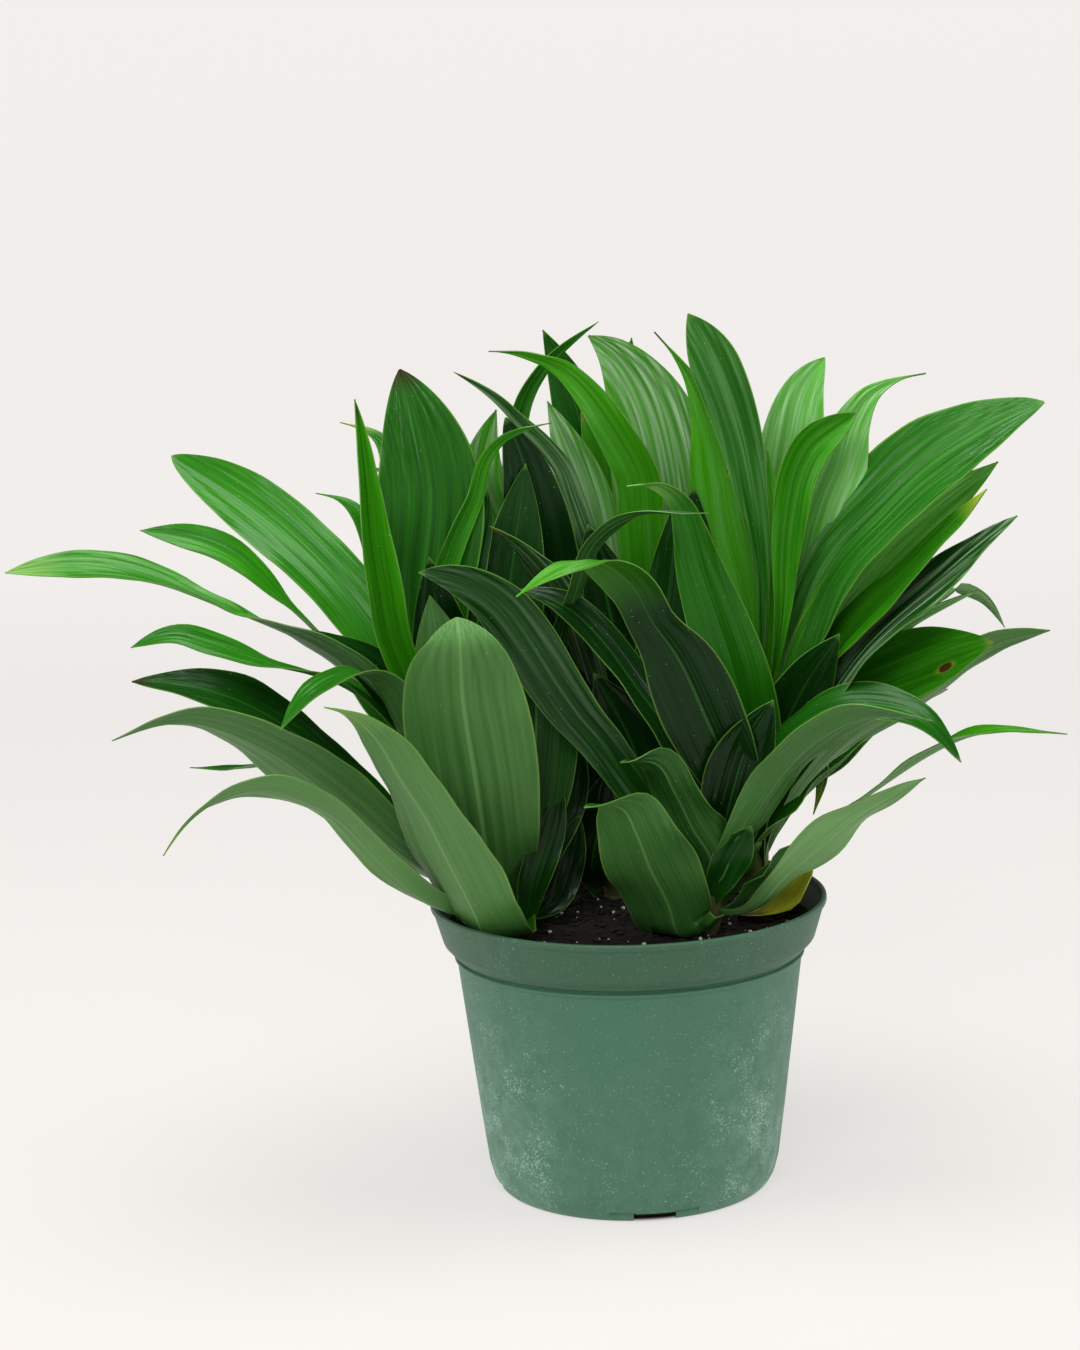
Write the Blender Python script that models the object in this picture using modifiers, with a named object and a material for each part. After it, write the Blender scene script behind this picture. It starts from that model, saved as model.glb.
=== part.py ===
"""A potted dracaena: four leafy plants in a round plastic nursery pot.

The frame is metres with +Z up and X to the right. The origin is the middle of the pot's
flat underside, so the floor is the plane z = 0, and -Y is the side that faces the viewer.
Every driving dimension below is in millimetres, as such a pot and its leaves measure.
"""

import math
from dataclasses import dataclass

import bmesh
import bpy
import numpy as np
from mathutils import Matrix, Vector

MM = 0.001
CLEARANCE = 0.3
MERGE = 0.00001

# Pot: a ten inch nursery pot, 254 mm across its rim and 190 mm high, as (radius, height)
POT_OUTSIDE = (
    (126.0, 190.0),
    (127.2, 189.0),
    (127.2, 186.4),
    (125.9, 185.2),
    (119.6, 164.0),
    (113.6, 157.5),
    (111.4, 156.2),
    (112.4, 154.2),
    (111.0, 151.5),
    (98.5, 50.0),
    (91.8, 4.0),
    (89.6, 0.0),
)
POT_INSIDE = (
    (87.6, 2.6),
    (89.6, 5.0),
    (96.3, 50.0),
    (108.6, 151.0),
    (109.6, 159.0),
    (117.6, 166.4),
    (123.8, 185.0),
    (124.6, 190.0),
)
POT_TURN_STEPS = 44

# Drain notches at the foot of the wall: a slot with a shallow ledge on either side of it,
# as (width, height, depth), and the radius that each is centred on
NOTCH_COUNT = 4
NOTCH_FIRST_HEADING = -82.0
NOTCH_SLOT = (27.0, 6.0, 34.0)
NOTCH_SLOT_RADIUS = 90.5
NOTCH_LEDGE = (16.0, 7.0, 8.0)
NOTCH_LEDGE_RADIUS = 94.6
NOTCH_LEDGE_TURN = 13.2

# Potting mix: its surface is a little domed, and lumpy
SOIL_CENTRE_HEIGHT = 175.0
SOIL_EDGE_HEIGHT = 171.0
SOIL_RINGS = 6
SOIL_TURN_STEPS = POT_TURN_STEPS // 2
SOIL_GAP = 0.45
SOIL_RELIEF = 1.6
SOIL_BROAD_LUMP = 60.0
SOIL_SMALL_LUMP = 25.0

# Canes: the feet of the leaves wrap the upper part of each one
CANE_RADIUS = 7.0
CANE_FOOT_HEIGHT = 70.0
CANE_TURN_STEPS = 9
WRAP_RADIUS = 10.5
WRAP_TOP_RADIUS = 4.5
WRAP_TAPER = 14.0
WRAP_START = 3.0
LEAF_START_RADIUS = 5.0

# Leaf blades: a blade at least as wide as BROAD_BLADE gets more strips across
BLADE_THICKNESS = 1.0
BROAD_BLADE = 44.0
BROAD_BLADE_STEPS = (4, 8)
SLIM_BLADE_STEPS = (2, 7)
TIP_CROWDING = 1.35

# Shares of a blade's length and width, and the forms of its outline and its channel
FOOT_END = 0.08
RISE_FORM = 1.3
TIP_SHARE = 0.05
SHEATH_END = 0.28
SHEATH_CUP = 0.55
CUP_FORM = 1.3
CUP_NARROWING = 0.75

# Waves along the margins: where they start and how far they run, as shares of the length,
# and in radians how fast they follow each other and how far the two margins are apart
WAVE_START = 0.15
WAVE_SPAN = 0.82
WAVE_SWELL = 0.7
WAVE_SPEED = 14.5
WAVE_LAG = 2.0
WAVE_SEED = 0.37

# The curve of a leaf's middle rib
SPINE_SAMPLES = 80
SPINE_EASING = 0.75
SPINE_END_BEND = 0.5


@dataclass(frozen=True)
class Finish:
    """A plain surface: its colour as linear RGB, and its roughness."""

    name: str
    colour: tuple
    roughness: float


POT_PLASTIC = Finish("green plastic", (0.09, 0.22, 0.14), 0.6)
SOIL_MIX = Finish("potting mix", (0.02, 0.013, 0.01), 0.95)
LEAF_GREEN = Finish("leaf green", (0.035, 0.16, 0.02), 0.35)
LEAF_YELLOW = Finish("faded leaf", (0.42, 0.36, 0.04), 0.55)


@dataclass(frozen=True)
class Plant:
    """One plant of the pot: its name, and where its cane stands and ends, in mm."""

    name: str
    foot: tuple
    head: tuple


@dataclass(frozen=True)
class Leaf:
    """One strap leaf, in mm and degrees.

    Attributes:
        name: A short name of the leaf.
        height: Where the leaf leaves its cane, above the floor.
        path: The points that its middle rib passes, the last one its tip.
        width: The blade's greatest width.
        across: Heading of the blade's width, or None for square to the leaf's heading.
        turn: Twist of the blade about its rib, at the base, the middle and the tip.
        cup: Depth of the blade's channel as a share of its half width.
        wave: Height of the waves along the margins.
        wide: Where the blade is widest, as a share of its length.
        point: Form of the tip: 0.5 is round, 1 is pointed, and more is drawn out.
        foot: Width at the base as a share of the greatest width.
    """

    name: str
    height: float
    path: tuple
    width: float
    across: float = None
    turn: tuple = (0, 0, 0)
    cup: float = 0.18
    wave: float = 2.5
    wide: float = 0.6
    point: float = 0.8
    foot: float = 0.26


LEFT = Plant("plant_left", (-76, -30), (-92, -32, 300))
BACK = Plant("plant_back", (-8, 52), (-10, 58, 325))
RIGHT = Plant("plant_right", (78, 18), (84, 20, 320))
FRONT = Plant("plant_front", (44, -38), (52, -40, 245))

LEAVES = {
    LEFT: (
        Leaf("broad glossy", 240, ((-153, 15, 354), (-219, 55, 424), (-293, 95, 469)), 52,
             turn=(-20, -35, -50), wide=0.68, point=0.55),
        Leaf("yellow tipped", 250,
             ((-172, -5, 342), (-205, -10, 380), (-248, -6, 420), (-302, -8, 435)), 36,
             turn=(0, 0, -60), wide=0.75, point=1.1),
        Leaf("longest", 240,
             ((-171, -36, 349), (-250, -37, 391), (-332, -38, 418), (-383, -40, 415)), 50,
             turn=(30, 18, -60), point=0.9),
        Leaf("slim drooping", 235,
             ((-170, -57, 339), (-221, -68, 360), (-254, -73, 373), (-275, -74, 379), (-302, -75, 372)), 28,
             turn=(0, 0, -55), wide=0.78, point=1),
        Leaf("dark low", 200, ((-172, -35, 278), (-241, -40, 335), (-308, -50, 343)), 54,
             turn=(-10, -22, -35), wide=0.65),
        Leaf("curled tip", 190,
             ((-146, -55, 236), (-222, -90, 310), (-267, -110, 332), (-309, -125, 324)), 56,
             turn=(35, 35, 15), wide=0.58, point=1),
        Leaf("low arch", 182,
             ((-136, -70, 222), (-181, -100, 272), (-238, -135, 287), (-280, -150, 255)), 40,
             turn=(10, 5, 0), foot=0.5),
        Leaf("thin low", 200,
             ((-140, 5, 235), (-205, 35, 272), (-250, 50, 268), (-286, 60, 267)), 30, point=1.3),
        Leaf("thin high", 255, ((-143, 62, 362), (-176, 85, 434), (-199, 95, 442)), 26, point=1.2),
        Leaf("twisted tip", 200,
             ((-126, -65, 290), (-159, -88, 355), (-186, -105, 350), (-208, -115, 326)), 54,
             wide=0.5),
        Leaf("folded upright", 250,
             ((-144, -40, 356), (-154, -33, 404), (-155, -28, 459), (-164, -3, 517)), 46,
             across=20, cup=0.8, wide=0.65),
        Leaf("tall upright", 260, ((-126, -5, 373), (-120, 14, 458), (-137, 29, 529)), 63,
             across=0, wide=0.7, point=0.8),
        Leaf("leaning in", 270,
             ((-100, -35, 350), (-92, -25, 430), (-78, -25, 480), (-41, -30, 498)), 40,
             across=20, point=1.2),
        Leaf("broad front", 188,
             ((-91, -91, 281), (-97, -116, 346), (-97, -128, 381), (-99, -116, 393)), 84,
             across=180, wide=0.62, point=0.45, foot=0.5),
        Leaf("dark front", 195, ((-64, -48, 250), (-54, -68, 330), (-62, -80, 390)), 54,
             across=180, wide=0.5),
        Leaf("front arch", 182,
             ((-104, -72, 227), (-126, -108, 284), (-139, -132, 324), (-157, -150, 344), (-179, -160, 344)),
             68, wide=0.45, point=0.9, foot=0.5),
        Leaf("small front", 220, ((-105, -58, 312), (-117, -75, 400)), 42, across=180),
        Leaf("thin back", 255,
             ((-120, 30, 370), (-140, 55, 450), (-156, 72, 480), (-180, 80, 490)), 34, point=1.4),
        Leaf("slim back", 245,
             ((-100, 45, 340), (-125, 90, 415), (-148, 112, 448), (-172, 120, 458)), 34,
             point=1.4),
        Leaf("right back", 215, ((-98, 60, 300), (-92, 128, 350), (-84, 200, 330)), 52),
        Leaf("left back", 205, ((-130, 40, 270), (-170, 110, 320), (-215, 170, 330)), 50),
    ),
    BACK: (
        Leaf("dark drooping", 250,
             ((-25, 30, 350), (-45, 10, 420), (-58, 0, 475), (-72, -5, 505), (-103, -10, 529)), 56,
             across=0, wide=0.55, point=1.6),
        Leaf("bright arch", 300,
             ((12, 40, 410), (8, 30, 460), (-22, 15, 512), (-50, 8, 532), (-80, 5, 542)), 42,
             across=10, point=1.2),
        Leaf("slim upright", 290,
             ((-40, 40, 420), (-62, 35, 495), (-45, 30, 528), (-10, 25, 556)), 22,
             across=0, point=1),
        Leaf("pale upright", 300, ((-15, 95, 398), (-25, 101, 488), (-47, 101, 545)), 40,
             across=0),
        Leaf("striped upright", 290,
             ((22, 60, 400), (18, 60, 480), (4, 55, 526), (-20, 50, 546)), 62,
             across=0, wide=0.65),
        Leaf("dark upright", 290, ((10, 106, 398), (6, 125, 478), (11, 128, 536)), 34, across=0),
        Leaf("silvery", 280, ((-12, 45, 388), (-22, 42, 447), (-44, 38, 505)), 36, across=0),
        Leaf("orange tipped", 290, ((-5, 72, 397), (-12, 75, 456), (-23, 77, 499)), 26, across=0),
        Leaf("leaning out", 230, ((-25, 5, 341), (-50, -22, 407), (-80, -42, 437)), 34),
        Leaf("narrow right", 260, ((-12, 0, 383), (5, -20, 428), (59, -35, 442)), 26, point=1.2),
        Leaf("pale left", 260, ((-60, 30, 390), (-86, 20, 465), (-76, 15, 503)), 42, across=0),
        Leaf("inner", 220, ((20, 15, 320), (32, 5, 400), (38, 0, 450)), 34, across=0),
        Leaf("back middle", 240, ((-5, 115, 318), (-10, 195, 368), (-15, 272, 348)), 56),
        Leaf("back right", 225, ((30, 110, 300), (70, 180, 340), (105, 245, 320)), 52),
        Leaf("back left", 230, ((-52, 100, 345), (-100, 160, 384), (-150, 212, 392)), 54),
        Leaf("high right", 255, ((40, 90, 350), (90, 135, 410), (140, 180, 420)), 50),
        Leaf("high left", 265, ((-50, 80, 360), (-100, 110, 430), (-148, 140, 455)), 50),
        Leaf("dark low back", 184, ((-26, 90, 215), (-40, 125, 264), (-50, 160, 296)), 62, foot=0.7),
        Leaf("low middle", 190, ((-5, 110, 250), (0, 180, 270), (5, 250, 232)), 44),
        Leaf("low right", 188, ((40, 100, 240), (85, 160, 252), (125, 215, 215)), 42),
        Leaf("low left", 190, ((-60, 84, 238), (-112, 132, 254), (-152, 182, 222)), 42),
    ),
    RIGHT: (
        Leaf("tallest", 280,
             ((96, 10, 385), (88, 8, 440), (77, 8, 500), (64, 8, 532), (46, 8, 560)), 38,
             across=0, wide=0.75),
        Leaf("brown tipped", 260,
             ((80, 25, 330), (74, 30, 420), (66, 30, 490), (50, 30, 530), (24, 30, 549)), 46,
             across=0, point=1),
        Leaf("pale blunt", 290,
             ((99, 60, 377), (111, 72, 462), (123, 84, 505), (136, 92, 523)), 42,
             across=0, wide=0.7, point=0.5),
        Leaf("pale nodding", 270,
             ((110, 35, 400), (132, 42, 455), (147, 48, 492), (165, 55, 512), (200, 65, 517)), 46,
             turn=(20, 25, 30), wide=0.55, point=1.3),
        Leaf("bright folded", 280, ((92, 5, 380), (112, 5, 445), (150, 15, 498)), 42,
             across=0, cup=0.7),
        Leaf("broad glossy", 240,
             ((128, 15, 378), (180, 10, 442), (230, 5, 474), (268, 0, 503)), 86,
             turn=(30, 30, 30), wide=0.74, point=0.6),
        Leaf("under the broad one", 235, ((130, 20, 355), (175, 20, 410), (240, 15, 462)), 50,
             turn=(30, 30, 30)),
        Leaf("yellow edged", 225, ((139, -12, 354), (186, -24, 404), (228, -30, 451)), 36,
             turn=(20, 30, 40)),
        Leaf("silver striped", 226, ((144, -24, 342), (194, -30, 392), (246, -38, 435)), 36,
             turn=(-20, -10, 15)),
        Leaf("thin arch", 220,
             ((140, 25, 326), (190, 30, 373), (212, 32, 380), (241, 35, 355)), 18),
        Leaf("thin stub", 224, ((141, 14, 346), (186, 9, 364), (226, 9, 385)), 14),
        Leaf("broad spotted", 205,
             ((120, 8, 296), (174, -12, 332), (208, -22, 346), (232, -28, 354)), 60,
             turn=(20, 40, 45), wide=0.7, point=0.7),
        Leaf("sage reaching", 200,
             ((130, 20, 272), (195, 15, 316), (235, 10, 344), (272, 10, 354)), 40,
             turn=(-20, -40, -45)),
        Leaf("hanging tip", 230,
             ((105, 35, 285), (124, 39, 291), (128, 42, 260), (122, 42, 230)), 14),
        Leaf("pale leaning in", 210,
             ((73, -10, 300), (60, -30, 375), (38, -45, 440), (5, -55, 461)), 46,
             across=10, point=1),
        Leaf("back high", 250, ((110, 60, 330), (160, 110, 390), (215, 160, 400)), 50),
        Leaf("back middle", 225, ((108, 85, 290), (135, 160, 324), (160, 232, 306)), 50),
        Leaf("back low", 195, ((118, 78, 243), (172, 95, 285), (218, 130, 294)), 40),
    ),
    FRONT: (
        Leaf("white shouldered", 205,
             ((22, -70, 287), (-20, -90, 342), (-60, -97, 388), (-125, -98, 417)), 54,
             turn=(-30, -35, -40), point=1),
        Leaf("yellow tipped", 212,
             ((47, -62, 301), (22, -95, 356), (-10, -125, 406), (-38, -140, 418), (-63, -148, 409)), 60,
             across=0, wide=0.5, point=1),
        Leaf("dark behind", 205, ((30, -40, 286), (0, -44, 342), (-59, -50, 393)), 40,
             turn=(-30, -30, -30)),
        Leaf("sage front", 181,
             ((30, -56, 197), (18, -92, 235), (5, -128, 268), (-28, -152, 282)), 56,
             across=180, wide=0.55, point=0.8, foot=0.6),
        Leaf("wavy bright", 186,
             ((52, -62, 221), (39, -84, 248), (26, -104, 273), (12, -118, 294), (-4, -126, 298)), 44,
             across=180, wave=5, wide=0.5, foot=0.5),
        Leaf("small", 186, ((66, -48, 210), (84, -55, 236)), 22, turn=(-30, -30, -30)),
        Leaf("sage arch", 200,
             ((85, -55, 264), (109, -75, 301), (153, -102, 323), (186, -117, 323)), 44,
             turn=(-20, -25, -20)),
        Leaf("bright drooping", 222,
             ((85, -38, 284), (136, -49, 321), (180, -67, 316), (206, -84, 290)), 34,
             turn=(20, 25, 30)),
        Leaf("sage low", 186, ((97, -55, 221), (144, -85, 262), (182, -110, 285)), 42,
             turn=(-30, -35, -40)),
        Leaf("long thin", 190,
             ((105, -40, 225), (161, -45, 268), (219, -55, 301), (274, -60, 301)), 28,
             turn=(-30, -10, 0), point=1.2),
        Leaf("slim stub", 200, ((105, -40, 255), (152, -48, 300)), 16),
    ),
}

# The leaf that has faded stands on the soil, bent toward the rim
FADED_FOOT = (70, -12, 174.4)
FADED_LEAF = Leaf("faded", 0, ((92, -8, 184), (107, -3, 198), (117, 2, 214)), 28,
                  turn=(0, 20, 30), foot=0.5)


def collection(name):
    """Return a new collection of the scene."""
    group = bpy.data.collections.new(name)
    bpy.context.scene.collection.children.link(group)
    return group


def material(finish):
    """Return the material of a finish, made at its first use."""
    made = bpy.data.materials.get(finish.name)
    if made is None:
        made = bpy.data.materials.new(finish.name)
        made.use_nodes = True
        shader = made.node_tree.nodes["Principled BSDF"]
        shader.inputs["Base Color"].default_value = (*finish.colour, 1.0)
        shader.inputs["Roughness"].default_value = finish.roughness
        shader.inputs["Metallic"].default_value = 0.0
    return made


def object_from(shape, name, group, finish=None):
    """Turn a bmesh into a named object of a collection, and free the bmesh."""
    mesh = bpy.data.meshes.new(name)
    shape.to_mesh(mesh)
    shape.free()
    made = bpy.data.objects.new(name, mesh)
    group.objects.link(made)
    if finish is not None:
        mesh.materials.append(material(finish))
    return made


def turned(name, outline, steps, group, finish):
    """Turn an outline of (radius, height) in mm about Z.

    The outline starts and ends on the axis, and runs down its outer side.
    """
    shape = bmesh.new()
    corners = [shape.verts.new((radius * MM, 0.0, height * MM)) for radius, height in outline]
    for first, second in zip(corners, corners[1:]):
        shape.edges.new((first, second))
    made = object_from(shape, name, group, finish)
    screw = made.modifiers.new("Turn", "SCREW")
    screw.steps = steps
    screw.render_steps = steps
    screw.use_merge_vertices = True
    screw.merge_threshold = MERGE
    return made


def bake(made):
    """Replace an object's mesh by its evaluated one, and drop its modifiers."""
    bpy.context.view_layer.update()
    evaluated = made.evaluated_get(bpy.context.evaluated_depsgraph_get())
    mesh = bpy.data.meshes.new_from_object(evaluated)
    mesh.name = made.name
    made.modifiers.clear()
    made.data = mesh


def as_cutter(made):
    """Mark an object as a cutter."""
    made.hide_render = True
    made.display_type = "WIRE"
    return made


def cut(target, cutter):
    """Cut a cutter out of an object."""
    boolean = target.modifiers.new(f"Cut {cutter.name}", "BOOLEAN")
    boolean.operation = "DIFFERENCE"
    boolean.solver = "EXACT"
    boolean.object = cutter


def notch_box(name, size, radius, heading, cutters):
    """Add a box to cut a drain notch with, from (width, height, depth) and its place."""
    width, height, depth = size
    shape = bmesh.new()
    bmesh.ops.create_cube(shape, size=MM)
    bmesh.ops.scale(shape, vec=(depth, width, 2.0 * height), verts=shape.verts)
    made = as_cutter(object_from(shape, name, cutters))
    turn = Matrix.Rotation(math.radians(heading), 4, "Z")
    made.matrix_world = turn @ Matrix.Translation((radius * MM, 0.0, 0.0))
    return made


def build_pot(group, cutters):
    """Build the thin-walled pot with its stepped rim, its groove and its drain notches."""
    outline = [(0.0, POT_INSIDE[0][1]), *POT_INSIDE, *POT_OUTSIDE, (0.0, 0.0)]
    pot = turned("pot", outline, POT_TURN_STEPS, group, POT_PLASTIC)
    for index in range(NOTCH_COUNT):
        heading = NOTCH_FIRST_HEADING + index * 360.0 / NOTCH_COUNT
        for side in (-NOTCH_LEDGE_TURN, NOTCH_LEDGE_TURN):
            ledge = notch_box("notch ledge", NOTCH_LEDGE, NOTCH_LEDGE_RADIUS, heading + side, cutters)
            cut(pot, ledge)
        cut(pot, notch_box("notch slot", NOTCH_SLOT, NOTCH_SLOT_RADIUS, heading, cutters))
    return pot


def soil_radius(height):
    """Return the radius in mm that the potting mix fills at a height."""
    radii, heights = zip(*POT_INSIDE)
    return float(np.interp(height, heights, radii)) - SOIL_GAP


def soil_height(x, y):
    """Return the height in mm of the potting mix's surface over a point."""
    share = min(math.hypot(x, y) / soil_radius(SOIL_EDGE_HEIGHT), 1.0)
    dome = SOIL_CENTRE_HEIGHT + (SOIL_EDGE_HEIGHT - SOIL_CENTRE_HEIGHT) * share ** 2
    broad = math.tau / SOIL_BROAD_LUMP
    small = math.tau / SOIL_SMALL_LUMP
    lumps = math.sin(broad * x + 1.0) * math.cos(broad * y) + 0.5 * math.sin(small * (x + y))
    return dome + SOIL_RELIEF * lumps * (1.0 - share ** 4)


def build_soil(group, cutters):
    """Build the potting mix with its lumpy surface and a plain hole for each cane."""
    edge = soil_radius(SOIL_EDGE_HEIGHT)
    surface = [(edge * ring / SOIL_RINGS, SOIL_EDGE_HEIGHT) for ring in range(SOIL_RINGS + 1)]
    heights = [height for _, height in reversed(POT_INSIDE[1:]) if height < SOIL_EDGE_HEIGHT]
    wall = [(soil_radius(height), height) for height in heights]
    floor = POT_INSIDE[0][1] + CLEARANCE
    outline = [*surface, *wall, (soil_radius(POT_INSIDE[0][1]), floor), (0.0, floor)]
    soil = turned("soil", outline, SOIL_TURN_STEPS, group, SOIL_MIX)
    bake(soil)
    for vertex in soil.data.vertices:
        if vertex.co.z > (SOIL_EDGE_HEIGHT - 0.1) * MM:
            vertex.co.z = soil_height(vertex.co.x / MM, vertex.co.y / MM) * MM
    for plant in LEAVES:
        cut(soil, cane_hole(plant, cutters))
    return soil


def cane_points(plant):
    """Return the two ends of a cane in mm, the first one in the soil."""
    return Vector((*plant.foot, CANE_FOOT_HEIGHT)), Vector(plant.head)


def place_on_cane(made, plant, start=0.0):
    """Stand an object that is built up from its origin along a plant's cane."""
    foot, head = cane_points(plant)
    axis = (head - foot).normalized()
    turn = axis.to_track_quat("Z", "Y").to_matrix().to_4x4()
    made.matrix_world = Matrix.Translation((foot + axis * start) * MM) @ turn


def cane_hole(plant, cutters):
    """Build the cutter of the hole that a cane stands in."""
    foot, head = cane_points(plant)
    length = (head - foot).length
    radius = (CANE_RADIUS + CLEARANCE) * MM
    shape = bmesh.new()
    bmesh.ops.create_cone(shape, cap_ends=True, segments=CANE_TURN_STEPS * 2,
                          radius1=radius, radius2=radius, depth=length * MM)
    bmesh.ops.translate(shape, vec=(0.0, 0.0, length * MM / 2.0), verts=shape.verts)
    made = as_cutter(object_from(shape, f"{plant.name} hole", cutters))
    place_on_cane(made, plant, -CLEARANCE)
    return made


def build_cane(plant, leaves, group):
    """Build a plant's cane, thickened by the feet of its leaves."""
    foot, head = cane_points(plant)
    length = (head - foot).length
    wrap = min(leaf.height for leaf in leaves) - WRAP_START - foot.z
    outline = [
        (0.0, length),
        (WRAP_TOP_RADIUS, length),
        (WRAP_RADIUS, length - WRAP_TAPER),
        (WRAP_RADIUS, wrap + WRAP_TAPER),
        (CANE_RADIUS, wrap),
        (CANE_RADIUS, 0.0),
        (0.0, 0.0),
    ]
    cane = turned(plant.name, outline, CANE_TURN_STEPS, group, LEAF_GREEN)
    place_on_cane(cane, plant)
    return cane


def leaf_base(plant, leaf):
    """Return the point inside the cane where a leaf starts, on the leaf's side of it, in mm."""
    foot, head = cane_points(plant)
    middle = foot.lerp(head, (leaf.height - foot.z) / (head.z - foot.z))
    outward = Vector(leaf.path[0]) - middle
    outward.z = 0.0
    return middle + outward.normalized() * LEAF_START_RADIUS


def spine(points):
    """Return evenly spaced points of a smooth curve through the given ones, as an array."""
    knots = np.array(points, dtype=float)
    steps = np.linalg.norm(np.diff(knots, axis=0), axis=1) ** SPINE_EASING
    marks = np.concatenate(([0.0], np.cumsum(steps)))
    slopes = np.diff(knots, axis=0) / steps[:, None]
    tangents = np.zeros_like(knots)
    weights = steps[:-1, None] + steps[1:, None]
    tangents[1:-1] = (slopes[:-1] * steps[1:, None] + slopes[1:] * steps[:-1, None]) / weights
    tangents[0] = slopes[0] + SPINE_END_BEND * (slopes[0] - tangents[1])
    tangents[-1] = slopes[-1] + SPINE_END_BEND * (slopes[-1] - tangents[-2])
    curve = []
    for mark in np.linspace(0.0, marks[-1], SPINE_SAMPLES):
        index = min(int(np.searchsorted(marks, mark, side="right")) - 1, len(steps) - 1)
        step = steps[index]
        s = (mark - marks[index]) / step
        curve.append((2 * s**3 - 3 * s**2 + 1) * knots[index]
                     + (s**3 - 2 * s**2 + s) * step * tangents[index]
                     + (3 * s**2 - 2 * s**3) * knots[index + 1]
                     + (s**3 - s**2) * step * tangents[index + 1])
    curve = np.array(curve)
    lengths = np.linalg.norm(np.diff(curve, axis=0), axis=1)
    run = np.concatenate(([0.0], np.cumsum(lengths)))
    even = np.linspace(0.0, run[-1], SPINE_SAMPLES)
    return np.stack([np.interp(even, run, curve[:, axis]) for axis in range(3)], axis=1)


def width_share(leaf, t):
    """Return the blade's width at a share t of its length, as a share of its greatest."""
    if t < leaf.wide:
        rise = min(max((t - FOOT_END) / (leaf.wide - FOOT_END), 0.0), 1.0)
        return leaf.foot + (1.0 - leaf.foot) * math.sin(rise * math.pi / 2.0) ** RISE_FORM
    fall = (t - leaf.wide) / (1.0 - leaf.wide)
    return max((1.0 - fall**2) ** leaf.point, TIP_SHARE)


def blade_surface(leaf, base):
    """Return a function from a leaf's (across, along) shares to its middle surface in mm."""
    curve = spine([base, *leaf.path])
    along = np.linspace(0.0, 1.0, len(curve))
    forward = np.gradient(curve, axis=0)
    forward /= np.linalg.norm(forward, axis=1)[:, None]
    heading = math.atan2(curve[-1][1] - curve[0][1], curve[-1][0] - curve[0][0]) - math.pi / 2.0
    if leaf.across is not None:
        heading = math.radians(leaf.across)
    sideways = np.array((math.cos(heading), math.sin(heading), 0.0))
    side = sideways - (forward @ sideways)[:, None] * forward
    side /= np.linalg.norm(side, axis=1)[:, None]
    face = np.cross(side, forward)
    turn = np.radians(np.interp(along, (0.0, 0.55, 1.0), leaf.turn))[:, None]
    turned_side = side * np.cos(turn) - face * np.sin(turn)
    turned_face = face * np.cos(turn) + side * np.sin(turn)
    phase = WAVE_SEED * (leaf.path[0][0] + leaf.path[0][2])

    def at(array, t):
        return np.array([np.interp(t, along, array[:, axis]) for axis in range(3)])

    def surface(x, t):
        half = 0.5 * leaf.width * width_share(leaf, t)
        cup = leaf.cup + SHEATH_CUP * max(1.0 - t / SHEATH_END, 0.0)
        run = min(max((t - WAVE_START) / WAVE_SPAN, 0.0), 1.0)
        swell = max(math.sin(math.pi * run), 0.0) ** WAVE_SWELL
        lag = WAVE_LAG if x > 0.0 else 0.0
        wave = leaf.wave * x * x * swell * math.sin(WAVE_SPEED * t + phase + lag)
        lift = half * cup * abs(x) ** CUP_FORM + wave
        reach = half * x / math.sqrt(1.0 + CUP_NARROWING * cup * cup)
        return at(curve, t) + at(turned_side, t) * reach + at(turned_face, t) * lift

    return surface


def build_blade(name, leaf, base, group, finish):
    """Build one leaf blade as a thin solid, from its middle surface."""
    surface = blade_surface(leaf, base)
    strips, lengths = BROAD_BLADE_STEPS if leaf.width >= BROAD_BLADE else SLIM_BLADE_STEPS
    shape = bmesh.new()
    bmesh.ops.create_grid(shape, x_segments=strips, y_segments=lengths, size=1.0)
    for vertex in shape.verts:
        along = 1.0 - (0.5 - 0.5 * vertex.co.y) ** TIP_CROWDING
        vertex.co = Vector(surface(vertex.co.x, along)) * MM
    bmesh.ops.triangulate(shape, faces=shape.faces, quad_method="FIXED")
    blade = object_from(shape, name, group, finish)
    solidify = blade.modifiers.new("Thickness", "SOLIDIFY")
    solidify.thickness = BLADE_THICKNESS * MM
    solidify.offset = 0.0
    return blade


def keep_largest_body(made):
    """Drop the scraps and the sealed hollows that a union left in an object's mesh."""
    shape = bmesh.new()
    shape.from_mesh(made.data)
    bmesh.ops.remove_doubles(shape, verts=shape.verts, dist=MERGE * 0.1)
    bodies = []
    left = set(shape.verts)
    while left:
        body = set()
        front = [left.pop()]
        while front:
            vertex = front.pop()
            body.add(vertex)
            for edge in vertex.link_edges:
                other = edge.other_vert(vertex)
                if other in left:
                    left.remove(other)
                    front.append(other)
        bodies.append(body)
    bodies.sort(key=len)
    for body in bodies[:-1]:
        bmesh.ops.delete(shape, geom=list(body), context="VERTS")
    shape.to_mesh(made.data)
    shape.free()


def build_plant(plant, leaves, group):
    """Build a cane with its leaves, fused in one solid."""
    cane = build_cane(plant, leaves, group)
    blades = collection(f"{plant.name} blades")
    for leaf in leaves:
        base = leaf_base(plant, leaf)
        build_blade(f"{plant.name} {leaf.name}", leaf, base, blades, LEAF_GREEN)
    union = cane.modifiers.new("Leaves", "BOOLEAN")
    union.operation = "UNION"
    union.operand_type = "COLLECTION"
    union.collection = blades
    union.solver = "EXACT"
    bake(cane)
    for blade in list(blades.objects):
        bpy.data.objects.remove(blade)
    bpy.data.collections.remove(blades)
    keep_largest_body(cane)
    return cane


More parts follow.
